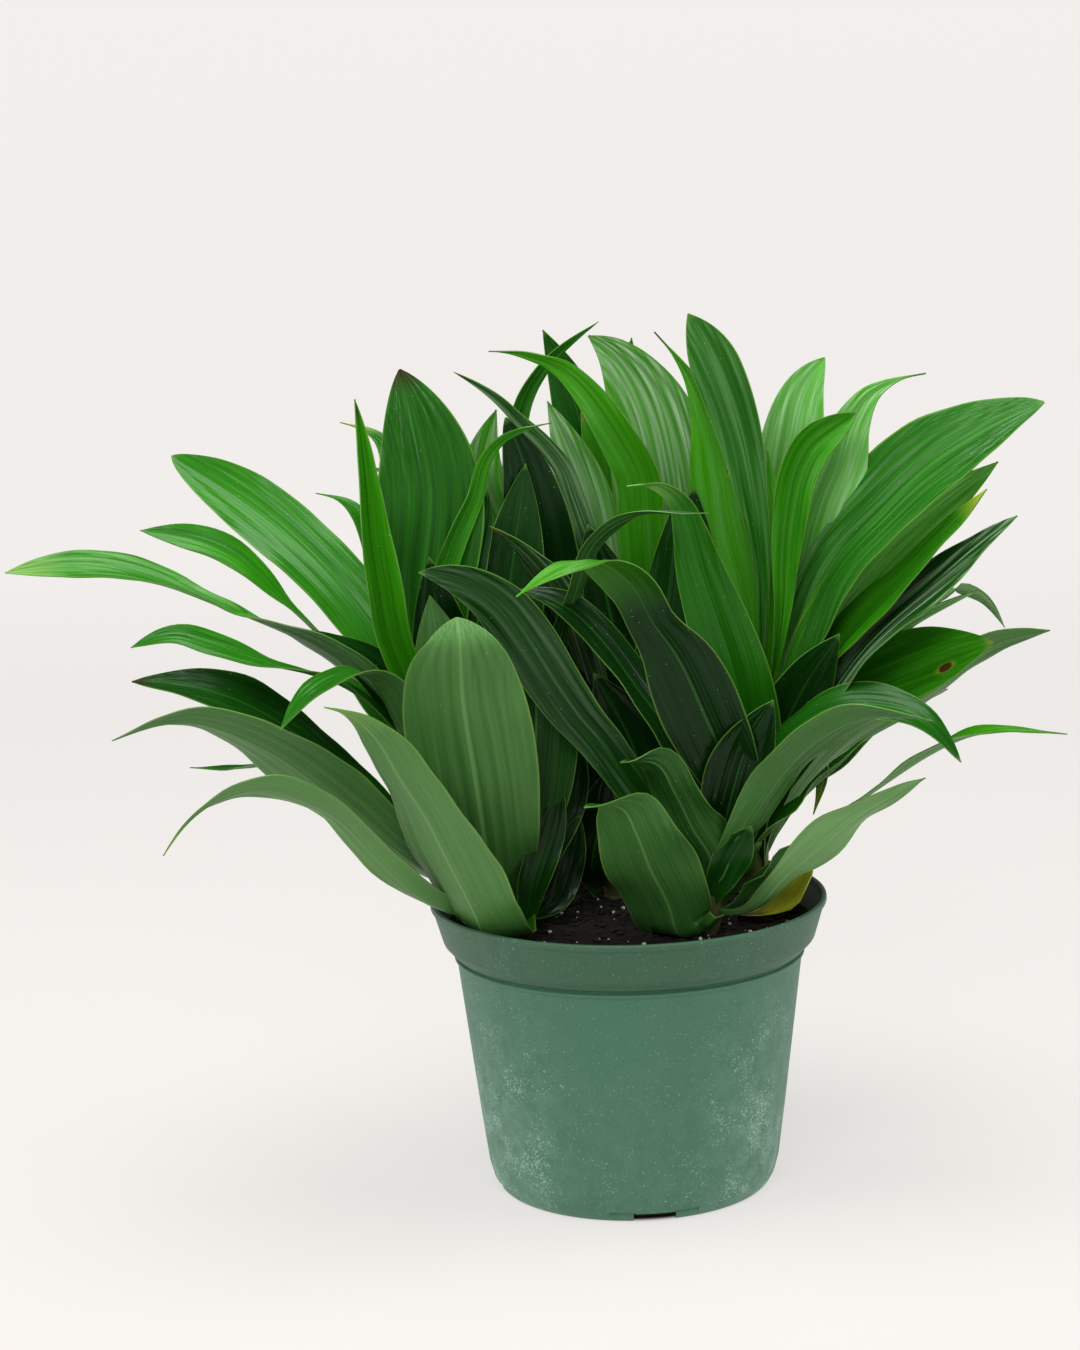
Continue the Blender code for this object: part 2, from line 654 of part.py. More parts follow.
def main():
    """Build the whole part."""
    for made in list(bpy.data.objects):
        bpy.data.objects.remove(made)
    group = collection("potted dracaena")
    cutters = collection("cutters")
    build_pot(group, cutters)
    build_soil(group, cutters)
    for plant, leaves in LEAVES.items():
        build_plant(plant, leaves, group)
    build_blade("faded_leaf", FADED_LEAF, Vector(FADED_FOOT), group, LEAF_YELLOW)


if __name__ == "__main__":
    main()
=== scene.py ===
"""Looks of the potted dracaena: a bushy foliage plant in a green plastic nursery pot.

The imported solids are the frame. Metres, +Z up, X to the right and -Y toward the viewer, and
the floor is the plane z = 0. Sizes that drive a shape are in millimetres.
"""

from __future__ import annotations

import logging
import math
import random
import sys
from dataclasses import dataclass
from enum import Enum

import bpy
import numpy as np
from mathutils import Matrix, Vector, noise

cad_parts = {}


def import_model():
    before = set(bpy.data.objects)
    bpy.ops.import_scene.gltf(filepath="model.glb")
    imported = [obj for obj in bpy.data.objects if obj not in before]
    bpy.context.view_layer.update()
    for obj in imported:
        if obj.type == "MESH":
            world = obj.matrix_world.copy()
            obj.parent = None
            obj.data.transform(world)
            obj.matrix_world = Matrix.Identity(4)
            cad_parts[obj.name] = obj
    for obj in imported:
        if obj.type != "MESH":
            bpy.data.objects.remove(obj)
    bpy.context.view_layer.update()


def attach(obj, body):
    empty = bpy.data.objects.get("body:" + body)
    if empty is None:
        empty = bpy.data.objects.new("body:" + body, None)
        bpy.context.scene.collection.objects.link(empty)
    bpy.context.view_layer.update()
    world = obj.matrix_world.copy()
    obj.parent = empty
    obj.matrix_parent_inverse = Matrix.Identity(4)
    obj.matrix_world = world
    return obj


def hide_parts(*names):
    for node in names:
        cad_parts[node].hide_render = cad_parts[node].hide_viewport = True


MM = 0.001
BODY = "root"
LOG = logging.getLogger("potted dracaena")

Point = tuple[float, float, float]
Ring = tuple[float, float]
Span = tuple[float, float]
Fade = tuple[float, float, float, float]
Socket = bpy.types.NodeSocket
Tree = bpy.types.NodeTree

RANGE = ("From Min", "From Max", "To Min", "To Max")
BLADE_CREASE = 50.0


# Colours and nodes. A fade holds the two ends of a value, and the share that shows at each.


def linear(code: str, alpha: float = 1.0) -> tuple[float, float, float, float]:
    """Turn an sRGB hex code into linear RGBA.

    Args:
        code: Six hex digits, with or without a leading hash.
        alpha: The fourth value.

    Returns:
        Red, green, blue and alpha, linear.
    """
    digits = code.lstrip("#")
    shares = (int(digits[i:i + 2], 16) / 255.0 for i in (0, 2, 4))
    red, green, blue = (s / 12.92 if s <= 0.04045 else ((s + 0.055) / 1.055) ** 2.4 for s in shares)
    return red, green, blue, alpha


def add_node(tree: Tree, kind: str, settings: dict | None = None,
             links: dict | None = None) -> bpy.types.Node:
    """Add a node to a tree.

    Args:
        tree: The tree that gets it.
        kind: The end of the node type's name, after "ShaderNode".
        settings: Values of its properties, or of its inputs by name or number.
        links: Sockets that feed its inputs, by the input's name or number.

    Returns:
        The node.
    """
    made = tree.nodes.new("ShaderNode" + kind)
    for name, value in (settings or {}).items():
        if isinstance(name, str) and hasattr(made, name):
            setattr(made, name, value)
        else:
            made.inputs[name].default_value = value
    for name, source in (links or {}).items():
        tree.links.new(source, made.inputs[name])
    return made


def set_stops(ramp: bpy.types.Node, stops: tuple[tuple[float, str], ...]) -> None:
    """Give a colour ramp its stops, each a place from 0 to 1 and an sRGB hex code."""
    elements = ramp.color_ramp.elements
    while len(elements) < len(stops):
        elements.new(1.0)
    for element, (place, code) in zip(elements, stops):
        element.position = place
        element.color = linear(code)


def new_material(name: str) -> tuple[bpy.types.Material, Tree, bpy.types.Node]:
    """Make a material with nodes.

    Args:
        name: The material's name.

    Returns:
        The material, its node tree and its Principled BSDF.
    """
    made = bpy.data.materials.new(name)
    made.use_nodes = True
    return made, made.node_tree, made.node_tree.nodes["Principled BSDF"]


# Finishes


@dataclass(frozen=True)
class LeafFinish:
    """One side of a living strap leaf.

    The upper side has a waxed skin that takes soft highlights along the pleats, and on some
    leaves whitish highlights are painted along the pleat crests. The underside is a matte
    grey-green with a pale middle rib. Both show fine veins that run along the blade. Sizes are in
    millimetres.

    Attributes:
        name: The material's name.
        tones: Ramp of greens; its darkest stops are painted shade deep in the tuft, and on the upper side
            its palest a painted whitish sheen.
        margin: Colour of the thin edge.
        margin_share: How strongly the edge shows.
        rib: Colour of the middle rib.
        rib_share: How strongly the rib shows.
        rib_width: Half width of the rib as a share of the half width of the blade.
        foot: Darker colour toward the leaf's foot: painted shade near the mix.
        roughness: Middle roughness.
        vein_relief: Height of the fine veins.
        streak_share: How much the streaks lighten or darken the blade.
        mottle_share: How much the broader mottling does.
        streak_size: Size of a streak across and along the blade.
        mottle_size: Size of a blotch of the mottling.
        vein_spacing: From one vein to the next.
        streak_relief: Height of the streaks as a share of the veins'.
        rib_core: Share of the rib's width that shows in full.
        margin_span: Where the edge starts and is full, as shares of the half width.
        foot_shade_reach: How far that painted shade reaches along the blade.
        foot_shade_share: How strongly it shows at the foot.
        sheen_highlight: Colour of the whitish highlights painted along the pleats of some leaves.
        sheen_highlight_fade: How a streak turns into that painted highlight.
        ring: Colour of the yellowed ring round a dead spot.
        ring_fade: How it fades, in radii of the spot.
        dead: Colour of the dead spot.
        dead_fade: How the spot ends, in its radii.
        speck: Colour of dust and dried water.
        speck_spacing: From one speck to the next.
        speck_fade: How a speck fades from its middle.
        roughness_spread: How far the roughness goes below and above its middle.
        ior: Index of refraction.
        gloss: Level of the mirror reflection.
    """

    name: str
    tones: tuple[tuple[float, str], ...]
    margin: str
    margin_share: float
    rib: str
    rib_share: float
    rib_width: float
    foot: str
    roughness: float
    vein_relief: float
    streak_share: float = 0.26
    mottle_share: float = 0.14
    streak_size: Point = (2.2, 95.0, 1.0)
    mottle_size: Point = (26.0, 60.0, 1.0)
    vein_spacing: float = 2.6
    streak_relief: float = 1.6
    rib_core: float = 0.4
    margin_span: Span = (0.955, 0.99)
    foot_shade_reach: float = 0.36
    foot_shade_share: float = 0.75
    sheen_highlight: str = "#C9DDC0"
    sheen_highlight_fade: Fade = (0.42, 0.62, 0.0, 0.8)
    ring: str = "#8C9A2C"
    ring_fade: Fade = (1.0, 1.8, 0.6, 0.0)
    dead: str = "#4A2A14"
    dead_fade: Fade = (0.8, 1.05, 0.95, 0.0)
    speck: str = "#B9C4AC"
    speck_spacing: float = 6.0
    speck_fade: Fade = (0.035, 0.07, 0.45, 0.0)
    roughness_spread: Span = (-0.07, 0.09)
    ior: float = 1.45
    gloss: float = 0.27

    def build(self) -> bpy.types.Material:
        """Make the material from the leaf's own attributes.

        Returns:
            The material.
        """
        made, tree, shader = new_material(self.name)
        place = add_node(tree, "Attribute", {"attribute_name": "leaf_place"})
        grain = add_node(tree, "Attribute", {"attribute_name": "leaf_grain"}).outputs["Vector"]
        across, along, tone = add_node(tree, "SeparateXYZ", links={0: place.outputs["Vector"]}).outputs
        streaks = self.noise(tree, grain, self.streak_size)
        mottle = self.noise(tree, grain, self.mottle_size)

        colour = self.green_with_painted_sheen(tree, tone, streaks, mottle)
        off_rib = add_node(tree, "Math", {"operation": "ABSOLUTE"}, {0: across}).outputs[0]
        rib_fade = (self.rib_width * self.rib_core, self.rib_width, self.rib_share, 0.0)
        # the darker foot is painted shade near the mix
        colour = self.layered(tree, colour, (
            ((0.0, self.foot_shade_reach, self.foot_shade_share, 0.0), along, self.foot),
            (rib_fade, off_rib, self.rib),
            ((*self.margin_span, 0.0, self.margin_share), off_rib, self.margin),
        ))
        colour = self.tip_and_lit_arch(tree, along, colour)

        # a few leaves have a dead spot, and dust and dried water leave a few pale specks
        offset = add_node(tree, "Attribute", {"attribute_name": "leaf_spot"})
        reach = add_node(tree, "VectorMath", {"operation": "LENGTH"}, {0: offset.outputs["Vector"]})
        cells = add_node(tree, "VectorMath",
                         {"operation": "MULTIPLY", 1: (1.0 / self.speck_spacing,) * 3}, {0: grain})
        specks = add_node(tree, "TexVoronoi", {"Scale": 1.0}, {"Vector": cells.outputs[0]})
        colour = self.layered(tree, colour, (
            (self.ring_fade, reach.outputs["Value"], self.ring),
            (self.dead_fade, reach.outputs["Value"], self.dead),
            (self.speck_fade, specks.outputs["Distance"], self.speck),
        ))

        low, high = (self.roughness + change for change in self.roughness_spread)
        rough = add_node(tree, "MapRange", {"To Min": low, "To Max": high}, {"Value": mottle})
        tree.links.new(colour, shader.inputs["Base Color"])
        tree.links.new(rough.outputs[0], shader.inputs["Roughness"])
        tree.links.new(self.veins(tree, grain, streaks), shader.inputs["Normal"])
        shader.inputs["IOR"].default_value = self.ior
        shader.inputs["Specular IOR Level"].default_value = self.gloss
        return made

    def noise(self, tree: Tree, place: Socket, size: Point) -> Socket:
        """Draw a stretched pattern over the blade.

        Args:
            tree: The material's nodes.
            place: The place on the blade, in millimetres.
            size: Size of a blotch across the blade and along it, in millimetres.

        Returns:
            A value from 0 to 1.
        """
        shares = tuple(1.0 / length for length in size)
        scaled = add_node(tree, "VectorMath", {"operation": "MULTIPLY", 1: shares}, {0: place})
        blotches = add_node(tree, "TexNoise", {"Scale": 1.0, "Detail": 2.0}, {"Vector": scaled.outputs[0]})
        return blotches.outputs["Fac"]

    def layered(self, tree: Tree, colour: Socket, layers: tuple[tuple[Fade, Socket, str], ...]) -> Socket:
        """Lay flat colours over another one.

        Args:
            tree: The material's nodes.
            colour: The colour below.
            layers: Each layer's fade, the value that it fades with, and its sRGB hex code.

        Returns:
            The mixed colour.
        """
        for fade, value, code in layers:
            share = add_node(tree, "MapRange", dict(zip(RANGE, fade)), {"Value": value})
            mix = add_node(tree, "MixRGB", {"Color2": linear(code)},
                           {"Fac": share.outputs[0], "Color1": colour})
            colour = mix.outputs[0]
        return colour

    def green_with_painted_sheen(self, tree: Tree, tone: Socket, streaks: Socket, mottle: Socket) -> Socket:
        """Colour the skin by how light the leaf is, whose ends paint shade and sheen, and paint whitish
        highlights along some pleats.

        Args:
            tree: The material's nodes.
            tone: How light the leaf is; its ends paint shade and sheen.
            streaks: The streaks, from 0 to 1.
            mottle: The broader mottling, from 0 to 1.

        Returns:
            The colour.
        """
        middle = 0.5 * (self.streak_share + self.mottle_share)
        streaked = add_node(tree, "Math", {"operation": "MULTIPLY_ADD", 1: self.streak_share},
                            {0: streaks, 2: tone})
        mottled = add_node(tree, "Math", {"operation": "MULTIPLY_ADD", 1: self.mottle_share},
                           {0: mottle, 2: streaked.outputs[0]})
        centred = add_node(tree, "Math", {"operation": "SUBTRACT", 1: middle}, {0: mottled.outputs[0]})
        ramp = add_node(tree, "ValToRGB", links={"Fac": centred.outputs[0]})
        set_stops(ramp, self.tones)
        # whitish highlights painted along the pleat crests of some leaves
        highlight_stripes = add_node(tree, "Attribute", {"attribute_name": "leaf_highlight_stripes"})
        lit = add_node(tree, "MapRange", dict(zip(RANGE, self.sheen_highlight_fade)), {"Value": streaks})
        silvery = add_node(tree, "Math", {"operation": "MULTIPLY"},
                           {0: highlight_stripes.outputs["Fac"], 1: lit.outputs[0]})
        mix = add_node(tree, "MixRGB", {"Color2": linear(self.sheen_highlight)},
                       {"Fac": silvery.outputs[0], "Color1": ramp.outputs["Color"]})
        return mix.outputs[0]

    def tip_and_lit_arch(self, tree: Tree, along: Socket, under: Socket) -> Socket:
        """Colour the leaf's own tip, which may be green, yellow or brown, or paint the lit top of an
        arching leaf brighter.

        Args:
            tree: The material's nodes.
            along: Place along the blade, from 0 to 1.
            under: The colour below.

        Returns:
            The mixed colour.
        """
        tip = add_node(tree, "Attribute", {"attribute_name": "leaf_tip_and_lit_arch"})
        left = add_node(tree, "Math", {"operation": "SUBTRACT", 0: 1.0}, {1: along})
        tips = add_node(tree, "Math", {"operation": "MULTIPLY"},
                        {0: left.outputs[0], 1: tip.outputs["Alpha"]})
        share = add_node(tree, "Math", {"operation": "SUBTRACT", 0: 1.0, "use_clamp": True},
                         {1: tips.outputs[0]})
        mix = add_node(tree, "MixRGB", links={"Fac": share.outputs[0], "Color1": under,
                                              "Color2": tip.outputs["Color"]})
        return mix.outputs[0]

    def veins(self, tree: Tree, grain: Socket, streaks: Socket) -> Socket:
        """Raise the fine veins that run along the blade.

        Args:
            tree: The material's nodes.
            grain: The place on the blade, in millimetres.
            streaks: The streaks, from 0 to 1.

        Returns:
            The normal.
        """
        across = add_node(tree, "SeparateXYZ", links={0: grain}).outputs["X"]
        turns = add_node(tree, "Math", {"operation": "MULTIPLY", 1: math.tau / self.vein_spacing},
                         {0: across})
        waves = add_node(tree, "Math", {"operation": "SINE"}, {0: turns.outputs[0]})
        relief = add_node(tree, "Math", {"operation": "MULTIPLY_ADD", 1: self.streak_relief},
                          {0: streaks, 2: waves.outputs[0]})
        bump = add_node(tree, "Bump", {"Strength": 1.0, "Distance": self.vein_relief * MM},
                        {"Height": relief.outputs[0]})
        return bump.outputs[0]


# the darkest tones paint the shade deep in the tuft, the palest ones a whitish sheen, and the darker foot
# the shade near the mix
UPPER_SIDE = LeafFinish(
    name="waxed leaf skin, upper side",
    tones=(
        (0.0, "#0A2C08"), (0.25, "#13490D"), (0.5, "#2A760E"), (0.68, "#469A12"),
        (0.8, "#5FA048"), (0.9, "#82B670"), (1.0, "#A9CF9B"),
    ),
    margin="#86B344", margin_share=0.45,
    rib="#3F8A2C", rib_share=0.3, rib_width=0.05,
    foot="#24590F", roughness=0.28, vein_relief=0.03,
)
# the darkest tones paint the shade deep in the tuft, and the darker foot the shade near the mix
UNDERSIDE = LeafFinish(
    name="matte leaf skin, underside",
    tones=(
        (0.0, "#143B0D"), (0.14, "#1F5015"), (0.35, "#3F6E32"), (0.7, "#5F8B4E"),
        (1.0, "#86AE76"),
    ),
    margin="#8FAE56", margin_share=0.4,
    rib="#93BE78", rib_share=0.25, rib_width=0.045,
    foot="#2C6420", roughness=0.42, vein_relief=0.05,
)


@dataclass(frozen=True)
class LeafEdge:
    """The thin edge of a leaf: it changes in patches between two greens.

    Attributes:
        name: The material's name.
        pale: The lighter green.
        green: The darker one.
        roughness: Its roughness.
        patch: Size of a patch, in millimetres.
    """

    name: str = "thin leaf edge"
    pale: str = "#669636"
    green: str = "#2F621C"
    roughness: float = 0.45
    patch: float = 30.0

    def build(self) -> bpy.types.Material:
        """Make the material.

        Returns:
            The material.
        """
        made, tree, shader = new_material(self.name)
        where = add_node(tree, "TexCoord").outputs["Object"]
        patches = add_node(tree, "TexNoise", {"Scale": 1.0 / (self.patch * MM)}, {"Vector": where})
        mix = add_node(tree, "MixRGB", {"Color1": linear(self.green), "Color2": linear(self.pale)},
                       {"Fac": patches.outputs["Fac"]})
        tree.links.new(mix.outputs[0], shader.inputs["Base Color"])
        shader.inputs["Roughness"].default_value = self.roughness
        return made


@dataclass(frozen=True)
class FadedLeafSkin:
    """A leaf that has yellowed: dull yellow-green, browned and blotched toward its foot.

    Attributes:
        name: The material's name.
        yellow: One of its two shades.
        green: The other one.
        brown: Colour of the browned foot.
        roughness: Its roughness.
        blotch: Size of a blotch, in millimetres.
        blotch_share: How far the blotches shift the brown along the blade.
        brown_fade: How the brown fades along the blade.
    """

    name: str = "faded leaf"
    yellow: str = "#C6BE2A"
    green: str = "#8AA424"
    brown: str = "#3E2A12"
    roughness: float = 0.5
    blotch: float = 9.0
    blotch_share: float = 0.9
    brown_fade: Fade = (0.42, 0.8, 1.0, 0.0)

    def build(self) -> bpy.types.Material:
        """Make the material.

        Returns:
            The material.
        """
        made, tree, shader = new_material(self.name)
        place = add_node(tree, "Attribute", {"attribute_name": "leaf_place"})
        along = add_node(tree, "SeparateXYZ", links={0: place.outputs["Vector"]}).outputs["Y"]
        where = add_node(tree, "TexCoord").outputs["Object"]
        blotches = add_node(tree, "TexNoise", {"Scale": 1.0 / (self.blotch * MM), "Detail": 4.0},
                            {"Vector": where}).outputs["Fac"]
        shades = add_node(tree, "MixRGB", {"Color1": linear(self.green), "Color2": linear(self.yellow)},
                          {"Fac": blotches})
        shifted = add_node(tree, "Math", {"operation": "MULTIPLY_ADD", 1: self.blotch_share},
                           {0: blotches, 2: along})
        share = add_node(tree, "MapRange", dict(zip(RANGE, self.brown_fade)),
                         {"Value": shifted.outputs[0]})
        browned = add_node(tree, "MixRGB", {"Color2": linear(self.brown)},
                           {"Fac": share.outputs[0], "Color1": shades.outputs[0]})
        tree.links.new(browned.outputs[0], shader.inputs["Base Color"])
        shader.inputs["Roughness"].default_value = self.roughness
        return made


@dataclass(frozen=True)
class CaneBark:
    """Young cane: smooth, green-brown, and browner in patches.

    Attributes:
        name: The material's name.
        green: One of its two shades.
        brown: The other one.
        roughness: Its roughness.
        patch: Size of a patch, in millimetres.
        relief: Height of its bumps, in millimetres.
        relief_strength: How strongly they show.
    """

    name: str = "young cane bark"
    green: str = "#5C6B34"
    brown: str = "#4A3A22"
    roughness: float = 0.6
    patch: float = 12.0
    relief: float = 0.4
    relief_strength: float = 0.6

    def build(self) -> bpy.types.Material:
        """Make the material.

        Returns:
            The material.
        """
        made, tree, shader = new_material(self.name)
        where = add_node(tree, "TexCoord").outputs["Object"]
        patches = add_node(tree, "TexNoise", {"Scale": 1.0 / (self.patch * MM), "Detail": 5.0},
                           {"Vector": where}).outputs["Fac"]
        mix = add_node(tree, "MixRGB", {"Color1": linear(self.green), "Color2": linear(self.brown)},
                       {"Fac": patches})
        bump = add_node(tree, "Bump", {"Strength": self.relief_strength, "Distance": self.relief * MM},
                        {"Height": patches})
        tree.links.new(mix.outputs[0], shader.inputs["Base Color"])
        tree.links.new(bump.outputs[0], shader.inputs["Normal"])
        shader.inputs["Roughness"].default_value = self.roughness
        return made


@dataclass(frozen=True)
class PotPlastic:
    """Injection-moulded polypropylene: matte green with a fine moulded grain.

    Use has left dust on it: a pale film and fine flecks low on the wall and to the sides, and
    crumbs of mix on the band. Toward the left and right sides the film is partly a painted sheen
    where the wall turns away. Inside, painted shade and stain from the mix darken it, and the
    band is darker as painted shade under the lip. Sizes are in millimetres.

    Attributes:
        name: The material's name.
        green: Colour of the wall.
        band: Darker colour of the band under the lip: painted shade.
        inside: Colour of the inner wall.
        dust: Colour of the film and the flecks, which toward the sides is partly a painted sheen.
        soil_speck: Colour of the crumbs.
        roughness: Roughness of the clean plastic.
        dusty_roughness: Roughness where dust lies.
        cloud: Size of a cloud in the film.
        fleck: Size of a fleck.
        cluster: Size of a cluster of flecks.
        clod: From one crumb to the next.
        grain: Size of the moulded grain.
        grain_relief: Its height.
        grain_strength: How strongly it shows.
        band_blur: How far below and above its start the band's colour sets in.
        low_fade: How the dust thins out with the height, in metres.
        side_sheen_fade: How it gathers away from the middle, in metres: partly dust and partly a painted
            sheen at the sides.
        film_fade: How the film shows over the clouds.
        cluster_fade: How much the clusters raise the flecks.
        fleck_fade: How a fleck fades.
        clod_fade: How a crumb fades from its middle.
        ior: Index of refraction.
    """

    name: str = "moulded polypropylene"
    green: str = "#44735A"
    band: str = "#396047"
    inside: str = "#1F4430"
    dust: str = "#A3C4B4"
    soil_speck: str = "#5A4630"
    roughness: float = 0.5
    dusty_roughness: float = 0.9
    cloud: float = 12.0
    fleck: float = 1.5
    cluster: float = 22.0
    clod: float = 5.0
    grain: float = 1.1
    grain_relief: float = 0.08
    grain_strength: float = 0.5
    band_blur: Span = (-2.0, 3.0)
    low_fade: Fade = (0.03, 0.16, 1.0, 0.15)
    side_sheen_fade: Fade = (0.035, 0.085, 0.2, 1.0)
    film_fade: Fade = (0.25, 0.75, 0.0, 0.5)
    cluster_fade: Fade = (0.36, 0.62, 0.0, 0.25)
    fleck_fade: Fade = (0.64, 0.74, 0.0, 0.75)
    clod_fade: Fade = (0.06, 0.12, 0.9, 0.0)
    ior: float = 1.49

    def build(self, band_height: float) -> bpy.types.Material:
        """Make the material.

        Args:
            band_height: Height at which the rim band starts, in millimetres.

        Returns:
            The material.
        """
        made, tree, shader = new_material(self.name)
        where = add_node(tree, "TexCoord").outputs["Object"]
        x, _, z = add_node(tree, "SeparateXYZ", links={0: where}).outputs
        start, end = ((band_height + blur) * MM for blur in self.band_blur)
        in_band = add_node(tree, "MapRange", {"From Min": start, "From Max": end}, {"Value": z}).outputs[0]
        # dust, with a painted sheen toward the left and right sides
        dust_and_sheen = self.dust_and_sheen_share(tree, where, x, z)

        # crumbs of mix cling under the lip
        clods = add_node(tree, "TexVoronoi", {"Scale": 1.0 / (self.clod * MM)}, {"Vector": where})
        clod = add_node(tree, "MapRange", dict(zip(RANGE, self.clod_fade)),
                        {"Value": clods.outputs["Distance"]})
        clinging = add_node(tree, "Math", {"operation": "MULTIPLY"}, {0: clod.outputs[0], 1: in_band})

        # the band's darker green is painted shade under the lip; the inner wall is in its own shade, and
        # stained by the mix
        wall = add_node(tree, "Attribute", {"attribute_name": "inner_wall"})
        colour = add_node(tree, "MixRGB", {"Color1": linear(self.green), "Color2": linear(self.band)},
                          {"Fac": in_band})
        for share, code in ((dust_and_sheen, self.dust), (clinging.outputs[0], self.soil_speck),
                            (wall.outputs["Fac"], self.inside)):
            colour = add_node(tree, "MixRGB", {"Color2": linear(code)},
                              {"Fac": share, "Color1": colour.outputs[0]})
        tree.links.new(colour.outputs[0], shader.inputs["Base Color"])

        rough = add_node(tree, "MapRange", {"To Min": self.roughness, "To Max": self.dusty_roughness},
                         {"Value": dust_and_sheen})
        tree.links.new(rough.outputs[0], shader.inputs["Roughness"])
        fine = add_node(tree, "TexNoise", {"Scale": 1.0 / (self.grain * MM), "Detail": 3.0},
                        {"Vector": where})
        bump = add_node(tree, "Bump", {"Strength": self.grain_strength, "Distance": self.grain_relief * MM},
                        {"Height": fine.outputs["Fac"]})
        tree.links.new(bump.outputs[0], shader.inputs["Normal"])
        shader.inputs["IOR"].default_value = self.ior
        return made

    def dust_and_sheen_share(self, tree: Tree, where: Socket, x: Socket, z: Socket) -> Socket:
        """Work out how much dust lies on the wall, and how much pale sheen is painted at its sides.

        Args:
            tree: The material's nodes.
            where: The place on the pot, in metres.
            x: How far that is to the right.
            z: How high it is.

        Returns:
            A share from 0 to 1.
        """
        # dust lies thickest low down; toward the left and right sides the share also paints the pale sheen
        # where the wall turns away
        low = add_node(tree, "MapRange", dict(zip(RANGE, self.low_fade)), {"Value": z})
        aside = add_node(tree, "Math", {"operation": "ABSOLUTE"}, {0: x})
        side = add_node(tree, "MapRange", dict(zip(RANGE, self.side_sheen_fade)), {"Value": aside.outputs[0]})
        settled_and_sheen = add_node(tree, "Math", {"operation": "MULTIPLY"},
                        {0: low.outputs[0], 1: side.outputs[0]}).outputs[0]
        clouds = add_node(tree, "TexNoise",
                          {"Scale": 1.0 / (self.cloud * MM), "Detail": 6.0, "Roughness": 0.6},
                          {"Vector": where})
        cloudy = add_node(tree, "MapRange", dict(zip(RANGE, self.film_fade)),
                          {"Value": clouds.outputs["Fac"]})
        film = add_node(tree, "Math", {"operation": "MULTIPLY"}, {0: cloudy.outputs[0], 1: settled_and_sheen})

        # dried drops leave fine pale flecks, gathered in clusters where the dust lies
        flecks = add_node(tree, "TexNoise",
                          {"Scale": 1.0 / (self.fleck * MM), "Detail": 3.0, "Roughness": 0.7},
                          {"Vector": where})
        clusters = add_node(tree, "TexNoise", {"Scale": 1.0 / (self.cluster * MM), "Detail": 3.0},
                            {"Vector": where})
        gathered = add_node(tree, "MapRange", dict(zip(RANGE, self.cluster_fade)),
                            {"Value": clusters.outputs["Fac"]})
        here = add_node(tree, "Math", {"operation": "MULTIPLY"}, {0: gathered.outputs[0], 1: settled_and_sheen})
        risen = add_node(tree, "Math", {"operation": "ADD"},
                         {0: flecks.outputs["Fac"], 1: here.outputs[0]})
        dotted = add_node(tree, "MapRange", dict(zip(RANGE, self.fleck_fade)),
                          {"Value": risen.outputs[0]})
        dust_and_sheen = add_node(tree, "Math", {"operation": "MAXIMUM"},
                         {0: film.outputs[0], 1: dotted.outputs[0]})
        return dust_and_sheen.outputs[0]


@dataclass(frozen=True)
class CrumbFinish:
    """A crumbly mineral or plant matter: two shades in patches, with a rough skin.

    Attributes:
        name: The material's name.
        dark: Its darker shade.
        light: Its lighter shade.
        patch: Size of a patch, in millimetres.
        relief: Height of its bumps, in millimetres.
        roughness: Its roughness.
        shade_span: Where the patches are darkest and lightest.
    """

    name: str
    dark: str
    light: str
    patch: float
    relief: float
    roughness: float = 0.95
    shade_span: Span = (0.35, 0.7)

    def build(self) -> bpy.types.Material:
        """Make the material.

        Returns:
            The material.
        """
        made, tree, shader = new_material(self.name)
        where = add_node(tree, "TexCoord").outputs["Object"]
        patches = add_node(tree, "TexNoise",
                           {"Scale": 1.0 / (self.patch * MM), "Detail": 6.0, "Roughness": 0.65},
                           {"Vector": where}).outputs["Fac"]
        ramp = add_node(tree, "ValToRGB", links={"Fac": patches})
        set_stops(ramp, tuple(zip(self.shade_span, (self.dark, self.light))))
        bump = add_node(tree, "Bump", {"Strength": 1.0, "Distance": self.relief * MM}, {"Height": patches})
        tree.links.new(ramp.outputs["Color"], shader.inputs["Base Color"])
        tree.links.new(bump.outputs[0], shader.inputs["Normal"])
        shader.inputs["Roughness"].default_value = self.roughness
        return made


PEAT = CrumbFinish("moist peat", "#080604", "#1A120C", patch=4.0, relief=1.0)
BARK = CrumbFinish("composted bark", "#0D0906", "#2C1E13", patch=2.0, relief=0.4)
PERLITE = CrumbFinish("perlite grain", "#B7B2A6", "#E9E6DC", patch=1.5, relief=0.3)


# Shapes


def only(made: bpy.types.Object) -> None:
    """Select one object alone and make it active."""
    bpy.ops.object.select_all(action="DESELECT")
    made.select_set(True)
    bpy.context.view_layer.objects.active = made


def joined(name: str, parts: list[bpy.types.Object]) -> bpy.types.Object:
    """Join objects in the first of them.

    Args:
        name: The joined object's name.
        parts: The objects, each with its place in its mesh.

    Returns:
        The joined object.
    """
    only(parts[0])
    for part in parts[1:]:
        part.select_set(True)
    bpy.ops.object.join()
    made = bpy.context.active_object
    made.name = name
    made.data.name = name
    return made


def smooth(made: bpy.types.Object, angle: float) -> None:
    """Shade an object smooth, apart from edges sharper than an angle in degrees."""
    only(made)
    bpy.ops.object.shade_smooth_by_angle(angle=math.radians(angle))


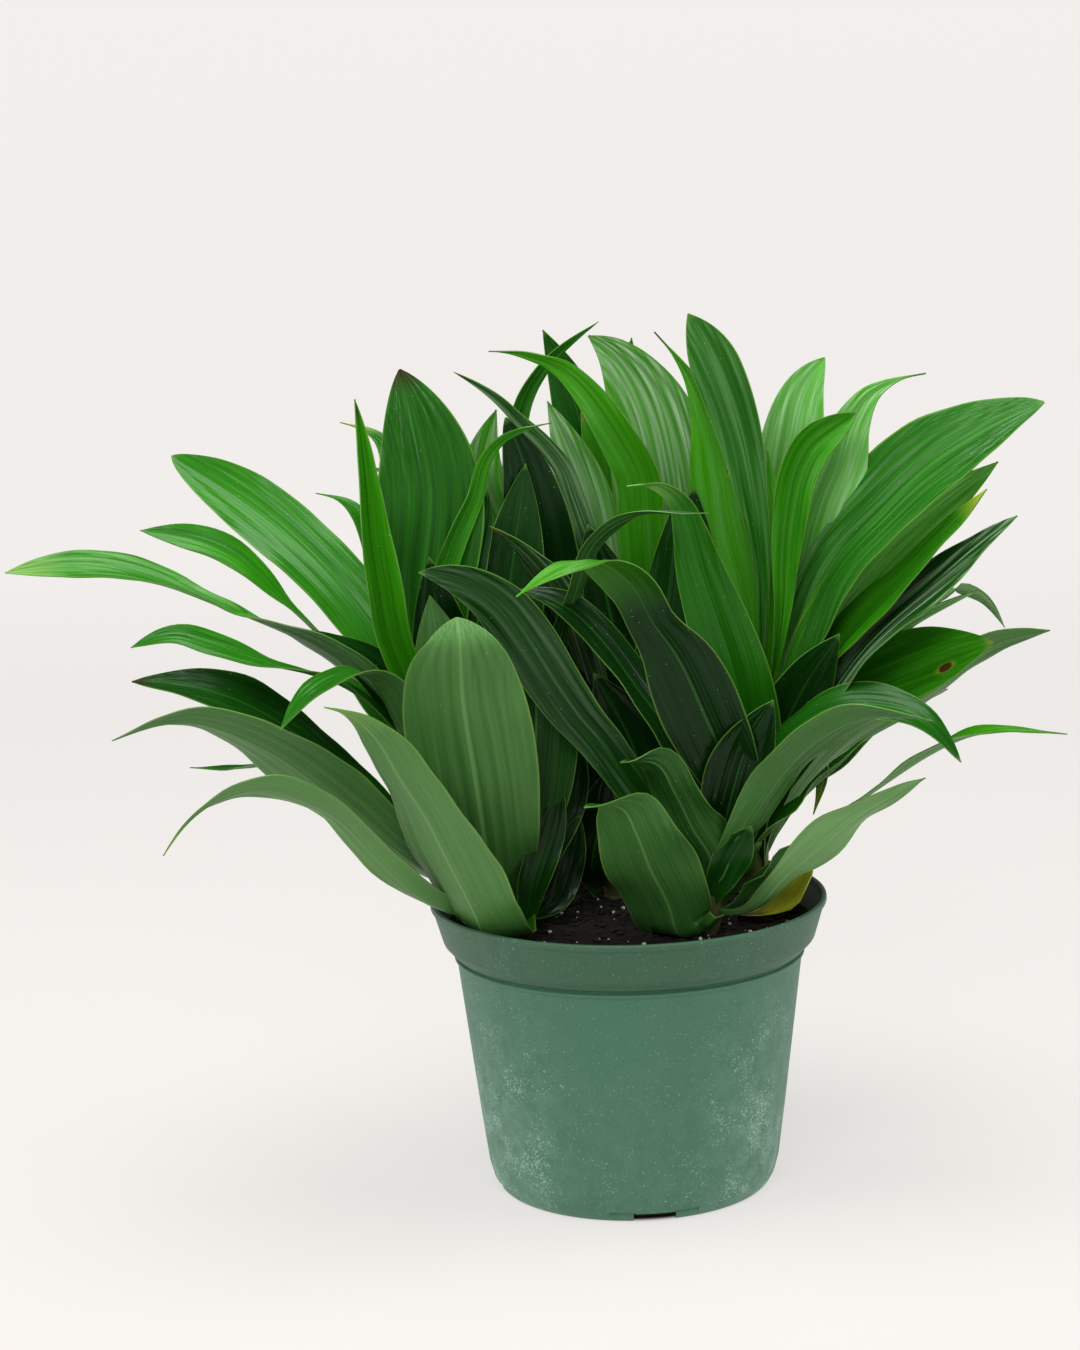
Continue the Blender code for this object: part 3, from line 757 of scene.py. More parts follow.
def rounded(outline: tuple[Ring, ...], radius: float, steps: int) -> list[Ring]:
    """Round the corners of an open outline.

    Args:
        outline: The corners as (radius, height) in mm.
        radius: How far from its corner a rounding starts at most, in mm.
        steps: Number of edges in each rounding.

    Returns:
        The points of the rounded outline.
    """
    most = 0.45  # share of an edge that one rounding may take
    corners = [Vector(corner) for corner in outline]
    points = [corners[0]]
    for before, corner, after in zip(corners, corners[1:], corners[2:]):
        back, ahead = before - corner, after - corner
        start = corner + back.normalized() * min(radius, most * back.length)
        end = corner + ahead.normalized() * min(radius, most * ahead.length)
        for step in range(steps + 1):
            s = step / steps
            points.append(start * (1 - s) ** 2 + corner * 2 * s * (1 - s) + end * s * s)
    points.append(corners[-1])
    return [(point.x, point.y) for point in points]


def split(outline: list[Ring], length: float) -> list[Ring]:
    """Put points between those of an outline, so that no edge is longer than a length in mm."""
    points = [outline[0]]
    for (x, z), (next_x, next_z) in zip(outline, outline[1:]):
        pieces = max(1, math.ceil(math.hypot(next_x - x, next_z - z) / length))
        points.extend((x + (next_x - x) * i / pieces, z + (next_z - z) * i / pieces)
                      for i in range(1, pieces + 1))
    return points


def turned(name: str, outline: list[Ring], steps: int) -> bpy.types.Object:
    """Spin an outline about Z into a closed solid.

    Args:
        name: The object's name.
        outline: Points as (radius, height) in mm, the first and the last one on the axis.
        steps: Number of facets round the axis.

    Returns:
        The solid, with its faces outwards.
    """
    doubles = 0.01 * MM  # vertices nearer to each other than this are merged
    bpy.ops.object.select_all(action="DESELECT")
    bpy.ops.mesh.primitive_plane_add(size=MM)
    made = bpy.context.active_object
    made.name = name
    made.data.name = name
    bpy.ops.object.mode_set(mode="EDIT")
    bpy.ops.mesh.select_mode(type="VERT")
    bpy.ops.mesh.select_all(action="SELECT")
    bpy.ops.mesh.merge(type="CENTER")
    here = (0.0, 0.0)
    for index, (radius, height) in enumerate(outline):
        step = {"value": ((radius - here[0]) * MM, 0.0, (height - here[1]) * MM)}
        if index:
            bpy.ops.mesh.extrude_region_move(TRANSFORM_OT_translate=step)
        else:
            bpy.ops.transform.translate(**step)
        here = (radius, height)
    bpy.ops.mesh.select_all(action="SELECT")
    bpy.ops.mesh.spin(steps=steps, angle=math.tau, center=(0.0, 0.0, 0.0), axis=(0.0, 0.0, 1.0))
    bpy.ops.mesh.select_all(action="SELECT")
    bpy.ops.mesh.remove_doubles(threshold=doubles)
    bpy.ops.mesh.normals_make_consistent(inside=False)
    bpy.ops.object.mode_set(mode="OBJECT")
    return made


def corners_of(made: bpy.types.Object) -> np.ndarray:
    """Return the places of an object's vertices in mm, one row each."""
    places = np.empty(3 * len(made.data.vertices))
    made.data.vertices.foreach_get("co", places)
    return places.reshape(-1, 3) / MM


def move_corners(made: bpy.types.Object, places: np.ndarray) -> None:
    """Put an object's vertices at places in mm, one row each."""
    made.data.vertices.foreach_set("co", (places * MM).ravel())
    made.data.update()


def note(made: bpy.types.Object, name: str, kind: str, values: np.ndarray) -> None:
    """Give an object's vertices an attribute that its material reads.

    Args:
        made: The object.
        name: The attribute's name.
        kind: "FLOAT", "FLOAT_VECTOR" or "FLOAT_COLOR".
        values: One row a vertex.
    """
    field = {"FLOAT": "value", "FLOAT_VECTOR": "vector", "FLOAT_COLOR": "color"}[kind]
    kept = made.data.attributes.new(name, kind, "POINT")
    kept.data.foreach_set(field, np.asarray(values, dtype=np.float32).ravel())


def apply_modifier(made: bpy.types.Object, kind: str, **settings: object) -> None:
    """Add a modifier to an object and apply it.

    Args:
        made: The object.
        kind: The modifier's type.
        settings: Its properties.
    """
    only(made)
    modifier = made.modifiers.new(kind.title(), kind)
    for name, value in settings.items():
        setattr(modifier, name, value)
    bpy.ops.object.modifier_apply(modifier=modifier.name)


def drop(made: bpy.types.Object) -> None:
    """Remove an object and its mesh."""
    mesh = made.data
    bpy.data.objects.remove(made)
    bpy.data.meshes.remove(mesh)


def hand_over(made: bpy.types.Object, node: str | None = None) -> bpy.types.Object:
    """Tell the frame what a piece rides on and what it replaces.

    Args:
        made: The piece.
        node: The CAD node that the piece stands for, if any.

    Returns:
        The piece.
    """
    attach(made, BODY)
    if node is not None:
        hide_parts(node)
    LOG.info("%s: %d faces", made.name, len(made.data.polygons))
    return made


@dataclass(frozen=True)
class Pot:
    """The ten inch nursery pot: 254 mm across its rim and 190 mm high. Sizes are in mm.

    Attributes:
        outer: The outer side from its lip to its foot, as (radius, height).
        inner: The inner side from the floor to the lip.
        rounding: How far from its corner a rounding starts.
        rounding_steps: Number of edges in a rounding.
        longest_edge: Length of the outline's longest edge.
        turn_steps: Number of facets round the axis.
        band_start: Height at which the band under the lip starts.
        notch_count: Number of drain notches.
        first_notch: Heading of the first one, in degrees.
        slot: Width, depth and height of a drain slot.
        slot_radius: The radius that a slot is centred on.
        ledge: Width, depth and height of the ledge on either side of it.
        ledge_radius: The radius that a ledge is centred on.
        ledge_turn: How far a ledge is turned away from its slot, in degrees.
        notch_rounding: Rounding of their edges.
        notch_steps: Number of edges in it.
        wall_margin: How far outside the inner outline a vertex still is on the inner wall.
        wall_start: Height above which a vertex is on the inner wall.
        crease: Edges sharper than this many degrees stay sharp.
    """

    outer: tuple[Ring, ...] = (
        (126.0, 190.0), (127.3, 189.3), (127.4, 186.0), (125.8, 185.0), (119.6, 164.0), (113.6, 157.5),
        (110.4, 156.5), (110.4, 155.1), (112.9, 154.3), (112.7, 152.7), (111.0, 151.3), (98.5, 50.0),
        (94.2, 18.0), (91.6, 8.0), (88.6, 2.6), (85.8, 0.0),
    )
    inner: tuple[Ring, ...] = (
        (84.6, 2.6), (87.0, 5.0), (89.4, 10.0), (96.3, 50.0), (108.6, 151.0), (109.6, 159.0),
        (117.6, 166.4), (123.8, 185.0), (124.6, 190.0),
    )
    rounding: float = 1.2
    rounding_steps: int = 4
    longest_edge: float = 6.0
    turn_steps: int = 176
    band_start: float = 157.0
    notch_count: int = 4
    first_notch: float = -82.0
    slot: Point = (27.0, 34.0, 6.0)
    slot_radius: float = 90.5
    ledge: Point = (16.0, 8.0, 7.0)
    ledge_radius: float = 92.6
    ledge_turn: float = 13.2
    notch_rounding: float = 0.8
    notch_steps: int = 3
    wall_margin: float = 0.6
    wall_start: float = 2.0
    crease: float = 32.0

    def outline(self) -> list[Ring]:
        """Return the closed half section, from the axis and back to it."""
        corners = ((0.0, self.inner[0][1]), *self.inner, *self.outer, (0.0, 0.0))
        return split(rounded(corners, self.rounding, self.rounding_steps), self.longest_edge)

    def inner_radius(self, height: float | np.ndarray) -> float | np.ndarray:
        """Return the radius of the inner wall at a height, both in mm."""
        radii, heights = zip(*self.inner)
        return np.interp(height, heights, radii)

    def cutter(self, size: Point, radius: float, heading: float) -> bpy.types.Object:
        """Make a block with rounded edges that cuts into the foot of the wall.

        Args:
            size: Width, depth and height of the cut.
            radius: The radius that it is centred on.
            heading: Its heading in degrees.

        Returns:
            The block.
        """
        width, depth, height = size
        angle = math.radians(heading)
        bpy.ops.object.select_all(action="DESELECT")
        bpy.ops.mesh.primitive_cube_add(
            size=1.0, scale=(depth * MM, width * MM, 2.0 * height * MM), rotation=(0.0, 0.0, angle),
            location=(radius * math.cos(angle) * MM, radius * math.sin(angle) * MM, 0.0))
        block = bpy.context.active_object
        bpy.ops.object.transform_apply(location=True, rotation=True, scale=True)
        bpy.ops.object.mode_set(mode="EDIT")
        bpy.ops.mesh.bevel(offset=self.notch_rounding * MM, segments=self.notch_steps)
        bpy.ops.object.mode_set(mode="OBJECT")
        return block

    def build(self) -> bpy.types.Object:
        """Build the pot with its lip, band, groove, bead and drain notches.

        Returns:
            The piece.
        """
        pot = turned("nursery_pot", self.outline(), self.turn_steps)
        for index in range(self.notch_count):
            heading = self.first_notch + index * 360.0 / self.notch_count
            for size, radius, turn in ((self.ledge, self.ledge_radius, -self.ledge_turn),
                                       (self.ledge, self.ledge_radius, self.ledge_turn),
                                       (self.slot, self.slot_radius, 0.0)):
                block = self.cutter(size, radius, heading + turn)
                apply_modifier(pot, "BOOLEAN", operation="DIFFERENCE", solver="EXACT", object=block)
                drop(block)
        x, y, z = corners_of(pot).T
        wall = np.hypot(x, y) < self.inner_radius(z) + self.wall_margin
        note(pot, "inner_wall", "FLOAT", wall & (z > self.wall_start))
        pot.data.materials.append(PotPlastic().build(self.band_start))
        smooth(pot, self.crease)
        return hand_over(pot, "pot")


@dataclass(frozen=True)
class PottingMix:
    """The mix that fills the pot: peat with bark crumbs and perlite grains on its surface.

    Sizes are in millimetres.

    Attributes:
        pot: The pot that it fills.
        centre_height: Height of the surface in the middle.
        edge_height: Its height at the wall.
        floor_height: Height of the underside.
        gap: Gap between the mix and the wall.
        ring_pitch: From one ring of the surface's vertices to the next.
        turn_steps: Number of facets round the axis.
        relief: Height of the lumps.
        broad_lump: From one broad lump to the next.
        small_lump: From one small lump to the next.
        clod: Size of a clod.
        clod_relief: Height of the clods.
        crumb: Size of a crumb.
        crumb_relief: Height of the crumbs.
        body_crease: Edges of the surface sharper than this many degrees stay sharp.
        lumpiness: How far a grain's skin moves in or out, as a share of its radius.
        lumps: How fast that changes over a grain.
        small_share: How strongly small grains outnumber large ones: 1 is evenly.
        tilt: How far a grain leans to either side, in radians.
        grain_crease: Edges of a grain sharper than this many degrees stay sharp.
        perlite_count: Number of perlite grains.
        perlite_size: The smallest and the largest of them.
        perlite_form: Form of a grain along its three axes.
        perlite_sink: How deep it sits, as a share of its half height.
        bark_count: Number of bark crumbs.
        bark_size: The smallest and the largest of them.
        bark_form: Form of a crumb along its three axes.
        bark_sink: How deep it sits, as a share of its half height.
        seed: Seed of the random draws.
    """

    pot: Pot
    centre_height: float = 175.0
    edge_height: float = 171.0
    floor_height: float = 2.9
    gap: float = 0.45
    ring_pitch: float = 1.7
    turn_steps: int = 176
    relief: float = 1.6
    broad_lump: float = 60.0
    small_lump: float = 25.0
    clod: float = 9.0
    clod_relief: float = 2.4
    crumb: float = 3.2
    crumb_relief: float = 1.3
    body_crease: float = 50.0
    lumpiness: float = 0.45
    lumps: float = 1.3
    small_share: float = 2.2
    tilt: float = 0.6
    grain_crease: float = 40.0
    perlite_count: int = 150
    perlite_size: Span = (1.0, 3.8)
    perlite_form: Point = (1.0, 0.85, 0.75)
    perlite_sink: float = 0.3
    bark_count: int = 1300
    bark_size: Span = (2.0, 7.0)
    bark_form: Point = (1.0, 0.55, 0.35)
    bark_sink: float = 0.2
    seed: int = 11

    def radius(self, height: float) -> float:
        """Return the radius that the mix fills at a height, both in mm."""
        return float(self.pot.inner_radius(height)) - self.gap

    def surface(self, x: float, y: float) -> float:
        """Return the height of the surface over a point, in mm."""
        share = min(math.hypot(x, y) / self.radius(self.edge_height), 1.0)
        dome = self.centre_height + (self.edge_height - self.centre_height) * share ** 2
        broad = math.tau / self.broad_lump
        small = math.tau / self.small_lump
        lumps = math.sin(broad * x + 1.0) * math.cos(broad * y) + 0.5 * math.sin(small * (x + y))
        clods = self.clod_relief * noise.noise(Vector((x, y, 0.0)) / self.clod)
        crumbs = self.crumb_relief * noise.noise(Vector((x, y, 40.0)) / self.crumb)
        return dome + (self.relief * lumps + clods + crumbs) * (1.0 - share ** 6)

    def build_body(self) -> bpy.types.Object:
        """Build the body of peat with its lumpy surface.

        Returns:
            The piece.
        """
        edge = self.radius(self.edge_height)
        rings = round(edge / self.ring_pitch)
        surface = [(edge * ring / rings, self.edge_height) for ring in range(rings + 1)]
        heights = [height for _, height in reversed(self.pot.inner[1:]) if height < self.edge_height]
        wall = [(self.radius(height), height) for height in heights]
        foot = [(self.radius(self.pot.inner[0][1]), self.floor_height), (0.0, self.floor_height)]
        body = turned("peat_body", [*surface, *wall, *foot], self.turn_steps)
        near = 0.1  # vertices this near below the edge's height are on the surface
        places = corners_of(body)
        for place in places:
            if place[2] > self.edge_height - near:
                place[2] = self.surface(place[0], place[1])
        move_corners(body, places)
        body.data.materials.append(PEAT.build())
        smooth(body, self.body_crease)
        return hand_over(body, "soil")

    def grain(self, stretch: Point) -> bpy.types.Object:
        """Make one lumpy grain about 2 mm across, of a few dozen faces.

        Args:
            stretch: Its form along its three axes.

        Returns:
            The grain.
        """
        bpy.ops.object.select_all(action="DESELECT")
        bpy.ops.mesh.primitive_uv_sphere_add(segments=8, ring_count=5, radius=MM)
        grain = bpy.context.active_object
        places = corners_of(grain)
        for place in places:
            place *= 1.0 + self.lumpiness * noise.noise(Vector(place) * self.lumps)
            place *= stretch
        move_corners(grain, places)
        return grain

    def scatter(self, name: str, stretch: Point, count: int, sizes: Span, sink: float,
                finish: CrumbFinish) -> bpy.types.Object:
        """Scatter copies of a grain over the surface, sunk a little in it.

        Args:
            name: The piece's name.
            stretch: The form of a grain along its axes.
            count: Number of grains.
            sizes: Smallest and largest grain in mm.
            sink: How deep a grain sits, as a share of its half height.
            finish: Its finish.

        Returns:
            The piece.
        """
        draw = random.Random(f"{self.seed} {name}")
        grain = self.grain(stretch)
        reach = self.radius(self.edge_height) - sizes[1]
        copies = []
        for _ in range(count):
            heading = draw.uniform(0.0, math.tau)
            radius = reach * math.sqrt(draw.random())
            size = sizes[0] + (sizes[1] - sizes[0]) * draw.random() ** self.small_share
            x, y = radius * math.cos(heading), radius * math.sin(heading)
            z = self.surface(x, y) + 0.5 * size * stretch[2] * (1.0 - sink)
            turn = Matrix.Rotation(draw.uniform(0.0, math.tau), 4, "Z")
            tilt = Matrix.Rotation(draw.uniform(-self.tilt, self.tilt), 4, "X")
            spot = Matrix.Translation(Vector((x, y, z)) * MM)
            mesh = grain.data.copy()
            mesh.transform(spot @ turn @ tilt @ Matrix.Scale(0.5 * size, 4))
            made = bpy.data.objects.new(name, mesh)
            bpy.context.collection.objects.link(made)
            copies.append(made)
        drop(grain)
        piece = joined(name, copies)
        piece.data.materials.append(finish.build())
        smooth(piece, self.grain_crease)
        return hand_over(piece)

    def build(self) -> None:
        """Build the mix, its bark crumbs and its perlite grains."""
        self.build_body()
        self.scatter("bark_crumbs", self.bark_form, self.bark_count, self.bark_size, self.bark_sink, BARK)
        self.scatter("perlite_grains", self.perlite_form, self.perlite_count, self.perlite_size,
                     self.perlite_sink, PERLITE)


class Tip(Enum):
    """What the end of a leaf has turned to, its colour and how far it reaches in mm; the brightest green is
    painted light on the lit top of an arching leaf.
    """

    GREEN = ("#5E8A38", 5.0)
    # a brighter green that fades in over the last 110 mm: painted light on the lit top of an arching leaf
    LIT_ARCH = ("#4FA01C", 110.0)
    PALE = ("#7FAC55", 40.0)
    YELLOW = ("#A9B93A", 26.0)
    TAN = ("#7E8B45", 7.0)
    ORANGE = ("#B0612A", 14.0)
    BROWN = ("#3B2514", 16.0)


@dataclass(frozen=True)
class Leaf:
    """One strap leaf, in mm and degrees.

    Attributes:
        name: A short name of the leaf.
        height: Where the leaf leaves its cane, above the floor.
        path: The points that its middle rib passes, the last one its tip.
        width: The blade's greatest width.
        tone: How light the blade is, from 0, painted shade deep in the tuft, to 1, a painted whitish sheen;
            in between, the leaf's own green.
        across: Heading of the blade's width, or None for square to the leaf's heading.
        turn: Twist of the blade about its rib, at the base, the middle and the tip.
        cup: Depth of the blade's channel as a share of its half width.
        wave: Height of the waves along the margins.
        wide: Where the blade is widest, as a share of its length.
        point: Form of the tip: 0.5 is round, 1 is pointed, and more is drawn out.
        foot: Width at the base as a share of the greatest width.
        rise: Form of the lower part: more keeps it slim for longer.
        pinch: Place along the blade where a twist narrows it, and by how much.
        pleat: Height of the pleats along the blade.
        tip: What the tip has turned to, or the painted light on the lit top of its arch.
        highlight_stripes: How strongly the painted whitish highlights show along the pleat crests.
        spot: Place of a dead spot across and along the blade as shares, and its radius.
    """

    name: str
    height: float
    path: tuple[Point, ...]
    width: float
    tone: float = 0.35
    across: float | None = None
    turn: Point = (0, 0, 0)
    cup: float = 0.18
    wave: float = 2.5
    wide: float = 0.6
    point: float = 0.95
    foot: float = 0.26
    rise: float = 1.3
    pinch: Span | None = None
    pleat: float = 0.4
    tip: Tip = Tip.GREEN
    highlight_stripes: float = 0.0
    spot: Point | None = None


@dataclass(frozen=True)
class BladeForm:
    """What all blades share: lengths in mm, and the rest as shares of a blade.

    Attributes:
        thickness: Thickness of the sheet.
        pleat_pitch: From one pleat to the next.
        fewest_pleats: Number of pleats in the narrowest blade.
        columns_a_pleat: Columns of faces in a pleat.
        row_pitch: From one row of vertices to the next.
        tip_crowding: How much closer the rows are toward the tip: 1 is evenly.
        twist_middle: Where the middle one of a leaf's three twists is.
        foot_end: Where the blade starts to widen.
        pinch_reach: How far a pinch reaches to either side.
        tip_share: Width at the very tip.
        sheath_end: Where the foot stops clasping the cane.
        sheath_cup: How much deeper the foot's channel is than the blade's.
        cup_form: Form of the channel: 1 is a V and 2 is round.
        cup_narrowing: How much the cup narrows the blade.
        wave_start: Where the waves of the margins start.
        wave_span: How far they reach from there.
        wave_swell: How they swell and fade: less does so faster.
        wave_speed: In radians, how fast the waves of a margin follow each other.
        wave_lag: In radians, how far the waves of the two margins are apart.
        wave_seed: Where a leaf's own waves start, for each mm that it lies away.
        relief_start: Where the pleats start.
        relief_rise: How far it takes until they are full.
        relief_fall: How far from the tip they start to fade.
        sway: How far the pleats bend with the place across, and how fast.
        wander: How far they bend along the blade, and how fast.
        rib_depth: Depth of the groove along the rib.
        rib_width: Half width of that groove, as a share of the half width.
        ruffle: Height of the fine ruffles of the margins.
        drift: How far the sheet drifts in and out.
        drift_speed: How fast it does so along the blade.
        ruffle_length: From one ruffle to the next.
        highlight_stripe_floor: Share of a painted highlight that shows between two crests.
        grain_shift: Moves each leaf's grain, across the blade and out of it, by its seed.
        no_spot: A place so far from any spot that none shows.
        spot_stretch: How much longer than wide a dead spot is.
        spine_samples: Number of points along the rib.
        spine_easing: How the curve's points are spaced by their distance: 1 is evenly.
        spine_end_bend: How far the curve goes on bending at its ends.
    """

    thickness: float = 0.7
    pleat_pitch: float = 10.0
    fewest_pleats: int = 3
    columns_a_pleat: int = 5
    row_pitch: float = 6.0
    tip_crowding: float = 1.35
    twist_middle: float = 0.55
    foot_end: float = 0.08
    pinch_reach: float = 0.1
    tip_share: float = 0.02
    sheath_end: float = 0.28
    sheath_cup: float = 0.55
    cup_form: float = 1.3
    cup_narrowing: float = 0.75
    wave_start: float = 0.15
    wave_span: float = 0.82
    wave_swell: float = 0.7
    wave_speed: float = 14.5
    wave_lag: float = 2.0
    wave_seed: float = 0.37
    relief_start: float = 0.1
    relief_rise: float = 0.25
    relief_fall: float = 0.12
    sway: Span = (0.05, 2.3)
    wander: Span = (0.03, 5.0)
    rib_depth: float = 0.9
    rib_width: float = 0.07
    ruffle: float = 0.35
    drift: float = 2.2
    drift_speed: float = 4.5
    ruffle_length: float = 34.0
    highlight_stripe_floor: float = 0.25
    grain_shift: Span = (17.0, 29.0)
    no_spot: float = 99.0
    spot_stretch: float = 1.4
    spine_samples: int = 80
    spine_easing: float = 0.75
    spine_end_bend: float = 0.5

    def spine(self, points: list[Point]) -> np.ndarray:
        """Return evenly spaced points of a smooth curve through the given ones."""
        knots = np.array(points, dtype=float)
        steps = np.linalg.norm(np.diff(knots, axis=0), axis=1) ** self.spine_easing
        marks = np.concatenate(([0.0], np.cumsum(steps)))
        slopes = np.diff(knots, axis=0) / steps[:, None]
        tangents = np.zeros_like(knots)
        weights = steps[:-1, None] + steps[1:, None]
        tangents[1:-1] = (slopes[:-1] * steps[1:, None] + slopes[1:] * steps[:-1, None]) / weights
        tangents[0] = slopes[0] + self.spine_end_bend * (slopes[0] - tangents[1])
        tangents[-1] = slopes[-1] + self.spine_end_bend * (slopes[-1] - tangents[-2])
        curve = []
        for mark in np.linspace(0.0, marks[-1], self.spine_samples):
            index = min(int(np.searchsorted(marks, mark, side="right")) - 1, len(steps) - 1)
            step = steps[index]
            s = (mark - marks[index]) / step
            curve.append((2 * s**3 - 3 * s**2 + 1) * knots[index]
                         + (s**3 - 2 * s**2 + s) * step * tangents[index]
                         + (3 * s**2 - 2 * s**3) * knots[index + 1]
                         + (s**3 - s**2) * step * tangents[index + 1])
        curve = np.array(curve)
        run = np.concatenate(([0.0], np.cumsum(np.linalg.norm(np.diff(curve, axis=0), axis=1))))
        even = np.linspace(0.0, run[-1], self.spine_samples)
        return np.stack([np.interp(even, run, curve[:, axis]) for axis in range(3)], axis=1)


class Blade:
    """The thin, pleated sheet of one leaf."""

    def __init__(self, leaf: Leaf, base: Point, form: BladeForm = BladeForm()) -> None:
        """Work out the blade's rib and how it is turned.

        Args:
            leaf: The leaf.
            base: The point where it starts, in mm.
            form: What all blades share.
        """
        self.leaf = leaf
        self.form = form
        self.curve = form.spine([base, *leaf.path])
        self.along = np.linspace(0.0, 1.0, len(self.curve))
        self.length = float(np.linalg.norm(np.diff(self.curve, axis=0), axis=1).sum())
        self.seed = form.wave_seed * (leaf.path[0][0] + leaf.path[0][2])
        forward = np.gradient(self.curve, axis=0)
        forward /= np.linalg.norm(forward, axis=1)[:, None]
        reach = self.curve[-1] - self.curve[0]
        heading = math.atan2(reach[1], reach[0]) - math.pi / 2.0
        if leaf.across is not None:
            heading = math.radians(leaf.across)
        sideways = np.array((math.cos(heading), math.sin(heading), 0.0))
        side = sideways - (forward @ sideways)[:, None] * forward
        side /= np.linalg.norm(side, axis=1)[:, None]
        face = np.cross(side, forward)
        turn = np.radians(np.interp(self.along, (0.0, form.twist_middle, 1.0), leaf.turn))[:, None]
        self.side = side * np.cos(turn) - face * np.sin(turn)
        self.face = face * np.cos(turn) + side * np.sin(turn)

    def half_width(self, t: np.ndarray) -> np.ndarray:
        """Return half the blade's width in mm at shares t of its length."""
        leaf, form = self.leaf, self.form
        rise = np.clip((t - form.foot_end) / (leaf.wide - form.foot_end), 0.0, 1.0)
        rising = leaf.foot + (1.0 - leaf.foot) * np.sin(rise * math.pi / 2.0) ** leaf.rise
        fall = np.clip((t - leaf.wide) / (1.0 - leaf.wide), 0.0, 1.0)
        falling = np.maximum((1.0 - fall**2) ** leaf.point, form.tip_share)
        half = 0.5 * leaf.width * np.where(t < leaf.wide, rising, falling)
        if leaf.pinch is not None:
            place, depth = leaf.pinch
            half = half * (1.0 - depth * np.exp(-((t - place) / form.pinch_reach) ** 2))
        return half

    def pleats(self) -> int:
        """Return the number of pleats that fit across the blade."""
        return max(self.form.fewest_pleats, round(self.leaf.width / self.form.pleat_pitch))

    def relief(self, x: np.ndarray, t: np.ndarray) -> np.ndarray:
        """Return the height in mm of the pleats, the rib's groove and the ruffled margins."""
        leaf, form = self.leaf, self.form
        rising = np.clip((t - form.relief_start) / form.relief_rise, 0.0, 1.0)
        open_part = rising * np.clip((1.0 - t) / form.relief_fall, 0.0, 1.0)
        (sway, across), (wander, along) = form.sway, form.wander
        bent = x + sway * np.sin(across * x + self.seed) + wander * np.sin(along * t + self.seed)
        pleat = leaf.pleat * np.cos(self.pleats() * math.pi * bent) * (1.0 - x**4)
        groove = form.rib_depth * np.exp(-(x / form.rib_width) ** 2)
        turns = math.tau * t * self.length / form.ruffle_length
        ruffle = form.ruffle * x**4 * np.sin(turns + self.seed + np.where(x > 0.0, form.wave_lag, 0.0))
        drift = np.array([
            noise.noise(Vector((form.drift_speed * share, self.seed, 0.0))) for share in t
        ])
        return open_part * (pleat - groove + ruffle + form.drift * drift)

    def points(self, x: np.ndarray, t: np.ndarray) -> np.ndarray:
        """Return the places in mm on the middle of the sheet, one row each.

        Args:
            x: Places across the blade, from -1 to 1.
            t: Places along it, from 0 to 1.

        Returns:
            The places.
        """
        leaf, form = self.leaf, self.form
        half = self.half_width(t)
        cup = leaf.cup + form.sheath_cup * np.maximum(1.0 - t / form.sheath_end, 0.0)
        run = np.clip((t - form.wave_start) / form.wave_span, 0.0, 1.0)
        swell = np.maximum(np.sin(math.pi * run), 0.0) ** form.wave_swell
        lag = np.where(x > 0.0, form.wave_lag, 0.0)
        wave = leaf.wave * x * x * swell * np.sin(form.wave_speed * t + self.seed + lag)
        lift = half * cup * np.abs(x) ** form.cup_form + wave + self.relief(x, t)
        reach = half * x / np.sqrt(1.0 + form.cup_narrowing * cup * cup)
        return (self.at(self.curve, t) + self.at(self.side, t) * reach[:, None]
                + self.at(self.face, t) * lift[:, None])

    def at(self, rows: np.ndarray, t: np.ndarray) -> np.ndarray:
        """Return rows that belong to the rib at shares t of its length."""
        return np.stack([np.interp(t, self.along, rows[:, axis]) for axis in range(3)], axis=1)

    def note_places(self, blade: bpy.types.Object, x: np.ndarray, t: np.ndarray) -> None:
        """Give the sheet the attributes that its materials read.

        Args:
            blade: The sheet.
            x: Places of its vertices across the blade, from -1 to 1.
            t: Their places along it, from 0 to 1.
        """
        leaf, form = self.leaf, self.form
        half = self.half_width(t)
        note(blade, "leaf_place", "FLOAT_VECTOR", np.stack((x, t, np.full_like(x, leaf.tone)), axis=1))
        aside, out = (shift * self.seed for shift in form.grain_shift)
        grain = np.stack((x * half + aside, t * self.length, np.full_like(x, out)), axis=1)
        note(blade, "leaf_grain", "FLOAT_VECTOR", grain)
        # the painted highlights are strongest on the pleat crests
        crest = 0.5 + 0.5 * np.cos(self.pleats() * math.pi * x)
        striped = form.highlight_stripe_floor + (1.0 - form.highlight_stripe_floor) * crest
        note(blade, "leaf_highlight_stripes", "FLOAT", leaf.highlight_stripes * striped)
        code, reach = leaf.tip.value
        note(blade, "leaf_tip_and_lit_arch", "FLOAT_COLOR",
             np.tile((*linear(code)[:3], self.length / reach), (len(x), 1)))
        spot = np.full((len(x), 3), form.no_spot)
        if leaf.spot is not None:
            across, along, radius = leaf.spot
            spot = np.stack(((x - across) * half / radius,
                             (t - along) * self.length / (form.spot_stretch * radius),
                             np.zeros_like(x)), axis=1)
        note(blade, "leaf_spot", "FLOAT_VECTOR", spot)

